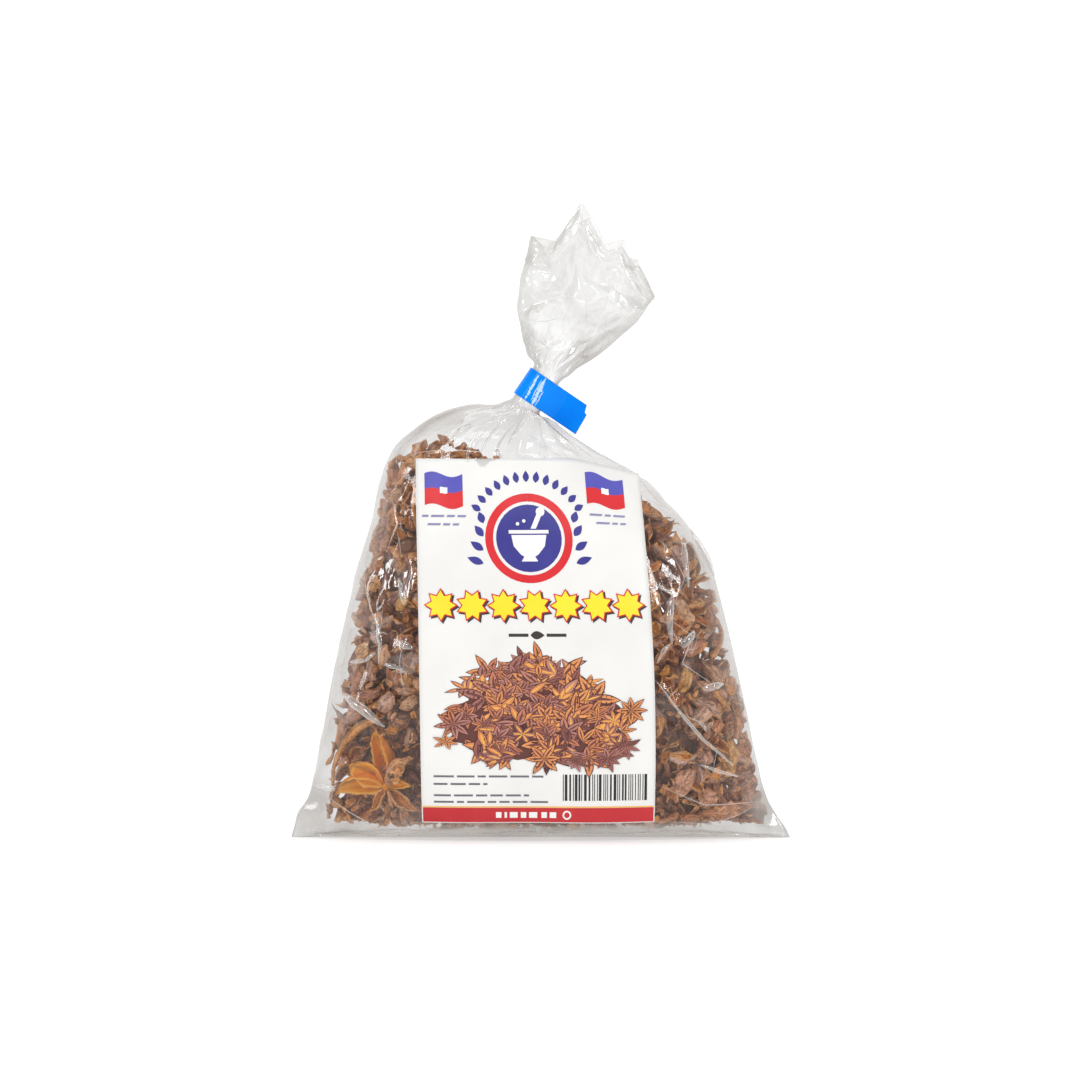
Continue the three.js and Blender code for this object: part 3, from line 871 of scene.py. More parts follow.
# Creases in the front view, in mm, each with its height.
FRONT_CREASES = [
    (((33.5, 47.5), (40.5, 37.5), (46.8, 29.6), (56.5, 21.8)), 1.0),
    (((46.2, 22.4), (51.5, 20.2), (58.0, 18.8)), 0.8),
    (((36.2, 16.0), (47.6, 10.9), (64.0, 10.9)), 1.0),
    (((-38.0, 112.6), (-29.4, 113.5), (-18.0, 112.8), (-6.0, 112.0)), 0.9),
    (((-50.0, 84.0), (-49.2, 72.0), (-46.4, 62.0), (-46.0, 54.0)), 1.3),
    (((-57.0, 42.2), (-50.6, 38.4), (-44.7, 33.5)), 1.1),
    (((-42.5, 100.0), (-40.5, 92.0), (-44.0, 84.0)), 1.0),
    (((-38.6, 60.0), (-40.8, 52.0), (-39.5, 44.0)), 0.9),
    (((37.5, 85.0), (41.5, 77.0), (38.0, 68.0)), 1.0),
    (((36.0, 66.0), (44.0, 60.0), (41.0, 52.0), (52.0, 44.0)), 0.8),
    (((-62.0, 12.0), (-48.0, 5.2), (-36.0, 4.0)), 0.8),
    (((38.0, 5.6), (50.0, 5.2), (62.0, 9.0)), 0.8),
]
# Flat folds in the front view: points in mm, width and height.
FRONT_FOLDS = [
    (((-49.0, 88.0), (-47.8, 76.0), (-47.2, 64.5)), 3.8, 1.0),
    (((-46.4, 65.0), (-45.8, 58.0), (-46.8, 52.0)), 1.2, 0.6),
    (((-57.5, 43.2), (-51.0, 38.4), (-44.9, 33.4)), 2.3, 1.0),
    (((33.8, 47.0), (40.5, 37.5), (46.8, 29.6), (56.5, 21.8)), 0.9, 0.6),
    (((46.4, 22.2), (51.5, 20.2), (57.6, 18.8)), 1.1, 0.6),
    (((41.6, 87.5), (41.9, 80.0), (42.6, 73.6)), 2.5, 1.0),
    (((33.6, 74.8), (36.0, 73.3), (39.0, 71.8)), 1.6, 0.7),
    (((38.4, 72.0), (37.2, 64.5), (38.2, 57.6)), 2.4, 0.9),
    (((37.6, 58.0), (35.6, 55.6), (33.8, 52.6)), 1.4, 0.6),
    (((40.6, 57.2), (42.6, 59.4), (44.8, 61.6)), 2.6, 0.9),
    (((47.4, 44.6), (50.4, 45.0), (53.8, 45.8)), 2.4, 0.9),
    (((45.8, 35.4), (47.6, 33.4), (48.4, 31.8)), 1.6, 0.7),
    (((-42.4, 59.2), (-39.0, 57.4), (-36.8, 56.8)), 2.0, 0.9),
    (((-45.2, 52.0), (-41.6, 51.0), (-38.2, 49.6)), 1.4, 0.7),
    (((-41.8, 77.4), (-40.0, 74.0), (-38.8, 69.0)), 1.8, 0.9),
    (((-55.6, 52.0), (-50.6, 53.2), (-47.4, 54.8)), 1.6, 0.8),
    (((-66.0, 15.4), (-62.6, 15.0), (-59.6, 14.2)), 2.0, 0.8),
    (((-47.0, 108.0), (-45.8, 100.0), (-46.6, 92.0)), 2.2, 0.8),
    (((46.0, 92.0), (49.6, 84.0), (51.0, 77.0)), 2.0, 0.8),
]
# Stretches round the film, in mm, that have flat folds along the foot.
FOOT_STRETCHES = [(-75, -58), (-56, -36), (-34, 0), (2, 34), (36, 56), (58, 94), (96, 150), (155, 206),
                  (208, 227)]
# Stretches round the film that are creased along the bag's lower corners.
EAR_STRETCHES = [(-75, -57), (57, 95), (209, 227)]
# Patches of fine crinkles at the front: x, z, radius and strength.
CRINKLES = [(-40.5, 99, 6, 0.8), (-39, 88, 4, 1.0), (-41, 77, 6, 2.2), (-38.5, 52, 5, 2.0), (-47, 62, 6, 0.8),
            (37, 84, 4, 1.0), (38, 68, 5, 1.3), (45, 56, 6, 0.9), (40, 40, 5, 0.9), (-36, 5, 8, 1.5),
            (48, 22, 4, 0.8)]


def facet_net(rng, step_across, step_up, squeeze=1.0):
    """Scattered points over the film laid flat, the same again each time round the bag, which is drawn
    together across by squeeze."""
    around, half = AROUND / squeeze, FLAT_HALF / squeeze
    columns = max(3, round(around / step_across))
    i, j = np.meshgrid(np.arange(columns), np.arange(int(FILM_LENGTH / step_up) + 4))
    across = (i + 0.5 * (j % 2) + rng.uniform(-0.4, 0.4, i.shape)) * around / columns - half
    up = (j - 1.5 + rng.uniform(-0.4, 0.4, i.shape)) * step_up
    points = np.stack([across.ravel(), up.ravel()], -1)
    heights = rng.uniform(-1, 1, len(points))
    points = np.concatenate([points - (around, 0), points, points + (around, 0)])
    near = np.abs(points[:, 0] - half) < 2 * half + 2.5 * step_across
    return points[near], np.tile(heights, 3)[near]


def facets(points, heights, across, up, edges=()):
    """Flat facets with sharp edges between them, through the points, over a grid of across and up."""
    corners, _, faces, origin, _, _ = delaunay_2d_cdt([Vector(p) for p in points], list(edges), [], 0, 1e-5)
    known = np.array([heights[o[0]] if o else 1.0 for o in origin])
    corners = np.array([tuple(c) for c in corners])
    field = np.zeros((len(up), len(across)))
    for face in faces:
        (x0, y0), (x1, y1), (x2, y2) = corners[face]
        h0, h1, h2 = known[face]
        columns = slice(*np.searchsorted(across, (min(x0, x1, x2), max(x0, x1, x2))))
        rows = slice(*np.searchsorted(up, (min(y0, y1, y2), max(y0, y1, y2))))
        x, y = across[columns][None] - x0, up[rows][:, None] - y0
        area = (x1 - x0) * (y2 - y0) - (x2 - x0) * (y1 - y0)
        if not x.size or not y.size or abs(area) < 1e-6:
            continue
        first = (x * (y2 - y0) - (x2 - x0) * y) / area
        second = ((x1 - x0) * y - x * (y1 - y0)) / area
        inside = (first >= -1e-6) & (second >= -1e-6) & (first + second <= 1 + 1e-6)
        value = h0 + first * (h1 - h0) + second * (h2 - h0)
        field[rows, columns] = np.where(inside, value, field[rows, columns])
    return field


def crumple(rng, across, up, step_across, step_up, squeeze=1.0):
    """Facets about as large as the steps, over the film as it is when drawn together across by squeeze."""
    return facets(*facet_net(rng, step_across, step_up, squeeze), across / squeeze, up)


def closely_spaced(line, step):
    """The points of a line with more put in, evenly, no further apart than about a step."""
    line = np.asarray(line, float)
    length = run_of(line)
    at = np.linspace(0, length[-1], max(2, round(length[-1] / step) + 1))
    at = np.unique(np.concatenate([at, length]).round(6))
    return np.stack([np.interp(at, length, column) for column in line.T], -1)


def ridges(rng, lines, across, up):
    """Sharp ridges along lines over the flat film, from 0 to each line's height."""
    points, heights = facet_net(rng, 6.5, 7.5)
    heights = 0.06 * (heights + 1)
    edges = []
    for line, height in lines:
        line = closely_spaced(line, 2.0)
        far = np.linalg.norm(points[:, None] - line[None], axis=2).min(1) > 2.6
        renumbered = np.cumsum(far) - 1
        edges = [(renumbered[i], renumbered[j]) for i, j in edges if far[i] and far[j]]
        points, heights = points[far], heights[far]
        edges += [(len(points) + k, len(points) + k + 1) for k in range(len(line) - 1)]
        fade = np.minimum(1, 4 * np.minimum(np.linspace(0, 1, len(line)), np.linspace(1, 0, len(line))) + 0.3)
        points = np.concatenate([points, line])
        heights = np.concatenate([heights, height * fade])
    return facets(points, heights, across, up, edges)


def film_lengths():
    """The length up the middle of the front at places along the bag."""
    fine = np.linspace(0, RIM + 1, 2600)
    return fine, run_of(bag_point(fine, 0.0, -1))


PLACES, LENGTHS = film_lengths()
FILM_LENGTH = LENGTHS[-1]
GATHERED = float(np.interp(NECK - 0.4, PLACES, LENGTHS))  # the length up to where the film meets the tape


def film_columns():
    """Where the film's columns stand round the bag: u across a face, the side, and mm round the flat film."""
    half = FILM_COLUMNS // 2
    share = np.arange(half + 1) / half
    spread = lerp(2 * share - 1, -np.cos(np.pi * share), 0.55)
    u = np.concatenate([spread, spread[1:-1][::-1]])
    side = np.concatenate([-np.ones(half + 1), np.ones(half - 1)])
    return u, side, np.where(side < 0, u * FLAT_HALF, (2 - u) * FLAT_HALF)


def grid_normals(points):
    """Outward normals of a grid of points that wraps across."""
    across = np.roll(points, -1, 1) - np.roll(points, 1, 1)
    up = np.gradient(points, axis=0)
    return unit(np.cross(across, up))


def flat_line(line):
    """Points of the front view as points over the flat film."""
    up = np.arange(0, FILM_LENGTH, 0.8)
    u = np.linspace(-1, 1, 190)
    seen = bag_point(np.interp(up, LENGTHS, PLACES)[:, None], u[None], -1)[..., [0, 2]]
    nearest = [np.unravel_index(np.argmin(((seen - p) ** 2).sum(2)), seen.shape[:2]) for p in line]
    return [(u[i] * FLAT_HALF, up[j]) for j, i in nearest]


def flat_lines():
    """The front's creases as lines over the flat film."""
    return [(flat_line(line), height) for line, height in FRONT_CREASES]


def film_relief(points, u, side, across, up, place):
    """How far the film stands off the bag's smooth skin: folds, facets and creases."""
    rng = np.random.default_rng(11)
    x, z = points[..., 0], points[..., 2]
    front = (side < 0)[None]
    shoulder = smooth(place, 9.0, 13.5)[:, None]
    fan = smooth(place, NECK + 1.05, NECK + 2.4)[:, None]
    neck = (smooth(place, NECK - 1.8, NECK - 0.3) * (1 - smooth(place, NECK + 1.1, NECK + 2.2)))[:, None]
    net = {name: crumple(rng, across, up, *steps) for name, steps in NETS.items()}
    crinkle = crinkled(x, -front.astype(float), z)
    body = 0.75 * net["broad"] + (0.34 + 0.34 * crinkle) * (1 - 0.8 * shoulder) * net["middle"]
    body += (0.09 + 0.46 * crinkle) * (1 - shoulder) * net["fine"]
    body += shoulder * (0.3 * net["gathers"] + 1.3 * net["patches"] + 0.6 * net["creased"])
    low = up[:, None]
    ear = smooth(np.abs(u), 0.7, 0.84)[None] * (1 - smooth(low, 9, 15))
    strip = 1 - smooth(low, 5, 10)
    body *= (1 - 0.7 * ear) * lerp(0.25, 1, smooth(low, 0, 6))
    body += 0.5 * ear * net["streaks"] + 0.35 * strip * net["uprights"]
    body *= 1 - 0.93 * np.where(front, under_label(x, z), 0)
    body += np.where(front, ridges(rng, flat_lines(), across, up), 0)
    fanned = 1.1 * net["wide"] + 1.4 * net["cross"] + net["small"] + 0.25 * net["tiny"]
    fanned *= (1 - 0.75 * np.abs(u) ** 8)[None]
    total = lerp(body * (1 - 0.92 * neck), fanned, fan)
    total = np.clip(total, *(lerp(*limits, fan) for limits in (DEEPEST, HIGHEST)))
    return np.maximum(total, -0.6 * np.abs(points[..., 1]) - 0.25) + 0.3 * (1 - neck)


def crinkled(x, y, z):
    """How strongly the film is crinkled at places of the front (where y is below 0)."""
    total = np.zeros(np.broadcast(x, y, z).shape)
    for cx, cz, radius, strength in CRINKLES:
        total += strength * np.exp(-((x - cx) ** 2 + (z - cz) ** 2) / radius ** 2) * (y < 0)
    return total


def under_label(x, z):
    """1 under the label, falling to 0 just outside it."""
    inside_x = smooth(x, -38.0, -35.0) * (1 - smooth(x, 32.5, 35.5))
    inside_z = smooth(z, 2.5, 5.5) * (1 - smooth(z, 111.4, 114.6))
    return inside_x * inside_z


def film_grid(first, last, row):
    """The film's points between two places along the bag, and the columns and rows they stand on."""
    low, high = np.interp((first, last), PLACES, LENGTHS)
    up = np.linspace(low, high, int((high - low) / row) + 1)
    place = np.interp(up, LENGTHS, PLACES)
    u, side, across = film_columns()
    points = bag_point(place[:, None], u[None], side[None])
    relief = film_relief(points, u, side, across, up, place)
    points = points + grid_normals(points) * relief[..., None]
    tucked = BOTTOM_LIFT * (1 - np.abs(u) ** 3)[None] * (1 - smooth(up, 0, 14))[:, None]
    points[..., 2] = np.maximum(points[..., 2] + tucked, 0.15)
    return points, across, up


class Sheet:
    """The film's shape, to lay things on: points over the flat film become places on the real one."""

    def __init__(self, points, across, up):
        self.points, self.normals, self.across, self.up = points, grid_normals(points), across, up

    def holds(self, flat):
        """Whether a line is on this part of the film."""
        low, high = (self.across[0], self.up[0]), (self.across[-1], self.up[-1])
        return len(flat) > 2 and np.all(flat > low) and np.all(flat < high)

    def at(self, flat, lift):
        """Places on the film, or off it by lift mm."""
        column = np.interp(flat[:, 0], self.across, np.arange(len(self.across)))
        row = (flat[:, 1] - self.up[0]) / (self.up[1] - self.up[0])
        off = between(self.normals, row, column) * np.reshape(lift, (-1, 1))
        return between(self.points, row, column) + off


def beside(flat, distance):
    """A line over the flat film, moved to its left by a distance at each point."""
    way = unit(np.gradient(flat, axis=0))
    return flat + np.reshape(distance, (-1, 1)) * np.stack([-way[:, 1], way[:, 0]], -1)


def strips(sheet, flat, profile):
    """Points and faces of a strip along a flat line: its profile has mm to the left and mm off the film."""
    rows = [sheet.at(beside(flat, out), lift) for out, lift in profile]
    return np.stack(rows, 1).reshape(-1, 3), grid_faces(len(flat), len(profile))


def crease(sheet, flat, width, lift=0.0):
    """A thin raised line, where the film is sharply creased; its whiter material is painted highlight along
    the crease.
    """
    slim = width / 2 * np.sin(np.pi * np.linspace(0.04, 0.96, len(flat))) ** 0.6
    return strips(sheet, flat, [(-slim, lift + 0.03), (0 * slim, lift + 0.03 + slim), (slim, lift + 0.03)])


def fold(sheet, flat, width, height):
    """A flat fold of film standing off the rest, and the crease along one of its edges, its white a painted
    highlight.
    """
    t = np.linspace(0.03, 0.97, len(flat))
    swell = np.sin(np.pi * t)
    uneven = 1 + 0.22 * np.sin(5 * t + 7 * width) + 0.12 * np.sin(13 * t + 3 * width)
    half = width / 2 * swell ** 0.45 * uneven
    lift, foot = height * swell ** 0.7, half * 1.15
    profile = [(-foot, 0.02), (-half, lift), (0 * half, lift * 1.12), (half, lift * 0.94), (foot, 0.02)]
    side = 1 if math.sin(40 * width) > 0 else -1
    return strips(sheet, flat, profile), [crease(sheet, beside(flat, half * side), 0.24, lift)]


def scattered_lines(rng, count, across, up, length, angle, spread):
    """Short, slightly bowed lines over the flat film, at about an angle in degrees."""
    for _ in range(count):
        middle = np.array([rng.uniform(*across), rng.uniform(*up)])
        turn = math.radians(rng.normal(angle, spread))
        way, square = np.array([(math.cos(turn), math.sin(turn)), (-math.sin(turn), math.cos(turn))])
        reach = rng.uniform(*length) / 2
        kink = middle + way * reach * rng.uniform(-0.4, 0.4) + square * reach * rng.normal(0, 0.14)
        yield [middle - way * reach, kink, middle + way * reach]


def film_lines(name):
    """Where the film is sharply creased: lines over the flat film, and how wide the crease is. Each group has
    its count, where it is across and up, its lengths, its angle and how far that varies, and its widths."""
    rng = np.random.default_rng(17)
    around = (-74, 226)
    if name == "film_fan":
        groups = [(8, around, (GATHERED + 14, FILM_LENGTH - 5), (14, 40), 10, 12, (0.2, 0.5)),
                  (9, around, (GATHERED + 11, FILM_LENGTH - 12), (8, 20), 80, 20, (0.2, 0.5))]
    else:
        groups = [(12, around, (GATHERED - 24, GATHERED - 3), (7, 18), 90, 14, (0.14, 0.32)),
                  (22, around, (GATHERED - 30, GATHERED - 6), (4, 12), 30, 50, (0.14, 0.3)),
                  (14, (90, 200), (20, GATHERED - 30), (6, 18), 70, 50, (0.14, 0.3)),
                  (34, (-60, 212), (0.8, 6.5), (2, 6), 88, 22, (0.14, 0.26))]
        groups += [(10, ends, (0.6, 8), (6, 16), 3, 7, (0.14, 0.3)) for ends in EAR_STRETCHES]
        for x, z, radius, strength in CRINKLES:
            (across, up), = flat_line([(x, z)])
            patch = (across - radius, across + radius), (up - radius, up + radius)
            groups.append((int(3.4 * strength), *patch, (2.5, 7), 70, 60, (0.14, 0.3)))
        yield from ((line, 0.3) for line, _ in flat_lines())
    for count, across, up, length, angle, spread, width in groups:
        for line in scattered_lines(rng, count, across, up, length, angle, spread):
            yield line, rng.uniform(*width)


def film_folds(name):
    """Flat folds of film: lines over the flat film, with a width and how far they stand off."""
    if name == "film_fan":
        return
    rng = np.random.default_rng(23)
    for line, width, height in FRONT_FOLDS:
        yield flat_line(line), 0.75 * width, height
    for ends in FOOT_STRETCHES:
        for line in scattered_lines(rng, 4, ends, (1.2, 4.6), (9, 20), 0, 5):
            yield line, rng.uniform(0.8, 2.0), 0.35
    for line in scattered_lines(rng, 26, (86, 214), (12, GATHERED - 16), (8, 20), 75, 35):
        yield line, rng.uniform(1.2, 3.4), 0.8
    for line in scattered_lines(rng, 7, (-70, 222), (GATHERED - 22, GATHERED - 8), (8, 16), 90, 14):
        yield line, rng.uniform(0.7, 1.5), 0.6


def dress_film(name, sheet):
    """The creases and folds that lie on a part of the film."""
    creases, folds = [], []
    for line, width in film_lines(name):
        flat = closely_spaced(line, LINE_STEP)
        if sheet.holds(flat):
            creases.append(crease(sheet, flat, width))
    for line, width, height in film_folds(name):
        flat = closely_spaced(line, LINE_STEP)
        edges = [beside(flat, side * width) for side in (-1, 1)]
        if sheet.holds(edges[0]) and sheet.holds(edges[1]):
            band, lines = fold(sheet, flat, width, height)
            folds.append(band)
            creases += lines
    if folds:
        yield mesh_object(name + "_folds", *together(folds), FOLD)
    yield mesh_object(name + "_creases", *together(creases), CREASE_GLINT)


def between(grid, row, column):
    """Values between the rows and columns of a grid."""
    j, i = np.minimum(row.astype(int), len(grid) - 2), np.minimum(column.astype(int), grid.shape[1] - 2)
    s, t = (row - j)[:, None], (column - i)[:, None]
    return lerp(lerp(grid[j, i], grid[j, i + 1], t), lerp(grid[j + 1, i], grid[j + 1, i + 1], t), s)


def build_film():
    """The clear bag: a sheet from the seam under the pods to the tape, and one on to the cut edge."""
    for name, (first, last, row) in FILM_PARTS.items():
        points, across, up = film_grid(first, last, row)
        sheet = Sheet(points, across, up)
        yield from dress_film(name, sheet)
        if name == "film_fan":
            rim = np.stack([across, np.full(len(across), up[-1] - 0.01)], -1)
            yield mesh_object("film_edge", *strips(sheet, rim, [(-0.34, 0), (-0.17, 0.12), (0, 0)]), FOLD)
        else:
            seam = [points[0] * (1, shrink, shrink) + (0, 0, 0.15) for shrink in (0.0, 0.35, 0.7)]
            points = np.concatenate([np.stack(seam), points])
        flat = points.reshape(-1, 3)
        yield mesh_object(name, flat, grid_faces(*points.shape[:2], wrap=True),
                          FAN_FILM if name == "film_fan" else FILM,
                          crinkled=crinkled(*flat.T), layers=film_layers(name, points).ravel())


def film_layers(name, points):
    """How far the film lies in layers at a grid of its points, from 0 to 1."""
    rng = np.random.default_rng(29)
    fan = name == "film_fan"
    up = np.linspace(0, FILM_LENGTH * (0.4 if fan else 0.8), len(points))
    patches = crumple(rng, film_columns()[2], up, 12, 12, FAN_SQUEEZE if fan else 1.0)
    x, y, z = points.transpose(2, 0, 1)
    if fan:
        return np.clip(0.16 + 0.4 * (y < 0) + 0.5 * patches + 0.4 * smooth(z, 166, 182), 0, 1)
    corner = smooth(np.abs(x), 58, 68) * (1 - smooth(z, 10, 20))
    foot = 0.5 * (1 - smooth(z, 4, 7))
    margin = 0.24 * smooth(np.abs(film_columns()[0]), 0.84, 0.95)[None]
    gathered = 0.45 * smooth(z, 115, 124)
    return np.clip((np.maximum(corner, foot) + margin + gathered) * (1 + 0.6 * patches), 0, 1)


# ---------------------------------------------------------------- the label

LABEL_LEFT, LABEL_RIGHT = (-34.2, -35.8), (33.2, 28.2)  # x of its edges, at the foot and at the top
LABEL_BULGE = 1.9  # how far its right edge bows out
LABEL_BOTTOM, LABEL_TOP = 6.2, 111.4
LABEL_DROP = 5.0  # how much lower its upper right corner is
LABEL_DROP_FROM = 0.68  # the share of its width from which its top edge falls
LABEL_GAP = 0.75  # off the bag's smooth front
LABEL_BACK, LABEL_FACE = 0.1, 0.28  # the sheet's two sides, beyond that


def off_front(x, z, offset):
    """Points at an offset off the front of the bag, square to it."""
    step = 0.5
    slope_x = (front_depth(x + step, z) - front_depth(x - step, z)) / (2 * step)
    slope_z = (front_depth(x, z + step) - front_depth(x, z - step)) / (2 * step)
    reach = offset / np.sqrt(slope_x ** 2 + 1 + slope_z ** 2)
    return np.stack([x - slope_x * reach, -front_depth(x, z) - reach, z - slope_z * reach], -1)


def label_point(s, t, offset):
    """Points on the label: s across it and t up it, both from 0 to 1."""
    s, t = np.broadcast_arrays(np.asarray(s, float), np.asarray(t, float))
    left = lerp(*LABEL_LEFT, t)
    right = lerp(*LABEL_RIGHT, t) + LABEL_BULGE * 4 * t * (1 - t)
    height = lerp(LABEL_BOTTOM, LABEL_TOP - label_fall(s), t)
    return off_front(lerp(left, right, s), height, offset + label_waves(s, t))


def label_fall(s):
    """How much lower the label's top edge is at s: its right corner falls away with the shoulder."""
    return LABEL_DROP * np.maximum(0, (s - LABEL_DROP_FROM) / (1 - LABEL_DROP_FROM)) ** 1.2


def label_waves(s, t):
    """The soft buckles of the paper, in mm."""
    return (0.2 * np.sin(9 * s + 4 * t + 1) * np.sin(5 * t + 2 * s)
            + 0.14 * np.exp(-((s - 0.30 - 0.12 * t) / 0.05) ** 2) * smooth(t, 0.55, 1))


def build_label():
    s, t = np.meshgrid(np.linspace(0, 1, 49), np.linspace(0, 1, 73))
    outer = label_point(s, t, LABEL_GAP + LABEL_FACE)
    back = label_point(s, t, LABEL_GAP + LABEL_BACK)
    points, triangles, _ = shell(outer, back)
    return mesh_object("label_sheet", points, triangles, PAPER)


# ---------------------------------------------------------------- the label's print

# Everything printed is drawn in mm over the flat label, from its lower left corner.
LABEL_WIDTH, LABEL_HEIGHT = 67.4, 105.2
FOLLOW_FROM, FOLLOW_OVER = 0.66, 0.34  # shares of the height over which the print follows the top edge
INK = 0.05  # how far each layer of ink stands off the paper
ROUND = (-269.9, 90)  # the angles of a ring, with a slit so narrow that it doesn't show
BADGE = (32.9, 82.4)


def box(x0, y0, x1, y1, slant=0.0):
    return np.array([(x0, y0), (x1, y0), (x1 + slant, y1), (x0 + slant, y1)], float)


def oval(x, y, across, up=None, count=32):
    turn = np.arange(count) / count * 2 * np.pi
    return np.stack([x + across * np.cos(turn), y + (up or across) * np.sin(turn)], -1)


def arch(x, y, outer, inner, start, stop, count=48):
    """Part of a ring, between two angles in degrees."""
    turn = np.radians(np.linspace(start, stop, count))
    way = np.stack([np.cos(turn), np.sin(turn)], -1)
    return np.concatenate([way * outer, way[::-1] * inner]) + (x, y)


def leaf(x, y, length, width, angle, flatten=1.0):
    """A pointed leaf that starts at x, y and runs at an angle in degrees."""
    t = np.linspace(0, 1, 8)
    half = width / 2 / length * np.sin(np.pi * t ** 0.85)
    outline = np.concatenate([np.stack([t, -half], -1), np.stack([t, half], -1)[-2:0:-1]]) * length
    c, s = math.cos(math.radians(angle)), math.sin(math.radians(angle))
    return outline @ np.array([(c, s * flatten), (-s, c * flatten)]) + (x, y)


def waving(x0, y0, x1, y1, wave=0.8, count=14):
    """A patch whose lower and upper edges wave, as a flag's do."""
    t = np.linspace(0, 1, count)
    swing = wave * np.sin(2 * np.pi * t * 0.95 + 0.4)
    lower = np.stack([lerp(x0, x1, t), y0 + swing], -1)
    upper = np.stack([lerp(x0, x1, t), y1 + swing], -1)
    return np.concatenate([lower, upper[::-1]])


def filled(outline, step=1.5):
    """Points and triangles that fill an outline, with some inside it, so that it can follow the paper."""
    edge = closely_spaced(np.concatenate([outline, outline[:1]]), step)[:-1]
    (x0, y0), (x1, y1) = edge.min(0), edge.max(0)
    inside = [(x, y) for x in np.arange(x0 + step / 2, x1, step) for y in np.arange(y0 + step / 2, y1, step)]
    points = [Vector(p) for p in [*edge, *inside]]
    flat, _, faces, _, _, _ = delaunay_2d_cdt(points, [], [list(range(len(edge)))], 1, 1e-5)
    return np.array([tuple(p) for p in flat]), np.array(faces)


def counterclockwise(outline):
    x, y = outline.T
    return outline if np.dot(x, np.roll(y, -1)) > np.dot(y, np.roll(x, -1)) else outline[::-1]


def print_object(name, material, layers):
    """One colour of ink: layers is a list of outlines, each with its layer number and a tone."""
    parts, tones = [], []
    for outline, layer, tone in layers:
        flat, faces = filled(counterclockwise(outline))
        s, t = flat[:, 0] / LABEL_WIDTH, flat[:, 1] / LABEL_HEIGHT
        fall = label_fall(s)
        lowered = fall * np.maximum(0, (t - FOLLOW_FROM) / FOLLOW_OVER) ** 2
        t = (flat[:, 1] - lowered) / (LABEL_HEIGHT - fall)
        parts.append((label_point(s, t, LABEL_GAP + LABEL_FACE + INK * layer), faces))
        tones += [tone] * len(flat)
    return mesh_object(name, *together(parts), material, tone=tones)


def flags():
    """Two waving two-colour patches in the upper corners."""
    red, blue, white = [], [], []
    for x0, x1, low, high in ((2.6, 13.8, 91.6, 100.8), (50.8, 62.2, 92.2, 101.4)):
        x, y = (x0 + x1) / 2, (low + high) / 2
        red.append((waving(x0, low, x1, y), 1, 0))
        blue.append((waving(x0, y, x1, high), 1, 0))
        white.append((waving(x - 1.1, y - 0.9, x + 1.1, y + 0.9, 0.1), 2, 0))
    return red, blue, white


def badge():
    """A round badge: a red ring round a blue disc with a mortar and pestle, between two sprays of leaves."""
    x, y = BADGE
    red = [(arch(x, y, 12.9, 10.6, *ROUND), 1, 0)]
    navy = [(oval(x, y, 9.7), 1, 0)]
    left = np.array([(-5.2, 1.0), (-4.6, -2.2), (-2.6, -4.6), (-1.6, -5.2), (-2.4, -6.6)])
    bowl = np.concatenate([left, left[::-1] * (-1, 1)]) + BADGE
    white = [(bowl, 2, 0), (box(x - 5.9, y + 1.4, x + 5.9, y + 2.4), 2, 0),
             (box(x + 0.6, y + 2.8, x + 2.2, y + 7.4, 2.2), 2, 0), (oval(x + 3.7, y + 7.6, 1.3), 2, 0)]
    white += [(oval(x - 3.2 + 1.9 * k, y + 4.2 + 0.8 * (k % 2), 0.5), 2, 0) for k in range(2)]
    for side in (-1, 1):
        for k, (lift, lean) in enumerate([(-7.2, 20), (-3.4, 34), (0.6, 52), (4.4, 70)]):
            angle = lean if side > 0 else 180 - lean
            navy.append((leaf(x + side * (13.6 - 0.1 * k), y + lift, 5.0 - 0.5 * k, 2.2, angle), 1, 0))
    for k in range(13):
        angle = math.radians(150 - 10 * k)
        foot = np.array(BADGE) + 16.1 * np.array([math.cos(angle), math.sin(angle)])
        navy.append((leaf(*foot, 3.2, 1.9, 150 - 10 * k), 1, 0))
    return red, navy, white


def title_row():
    """A row of bold yellow eight-pointed shapes with red edges, each over its dark shadow."""
    yellow, red, dark = [], [], []
    for k in range(7):
        x, y, turn = 6.6 + 9.05 * k, 63.0, 0 if k % 2 == 0 else math.pi / 8
        yellow.append((sunburst(x, y, 4.3, 2.75, turn), 4, 0))
        red.append((sunburst(x, y, 4.95, 3.15, turn), 3, 0))
        dark.append((sunburst(x + 0.5, y - 0.5, 4.95, 3.15, turn), 2, 0.25))
    return yellow, red, dark


def sunburst(x, y, outer, inner, turn):
    angle = turn + np.arange(16) * np.pi / 8
    size = np.where(np.arange(16) % 2, inner, outer)
    return np.stack([x + size * np.cos(angle), y + size * np.sin(angle)], -1)


def dashes(rng, left, right, y, widths, gap, half, slant, tone):
    """A row of dashes of uneven widths, with gaps between them."""
    while left < right - 1:
        wide = min(rng.uniform(*widths), right - left)
        yield box(left, y - half, left + wide, y + half, slant), 1, tone
        left += wide + gap


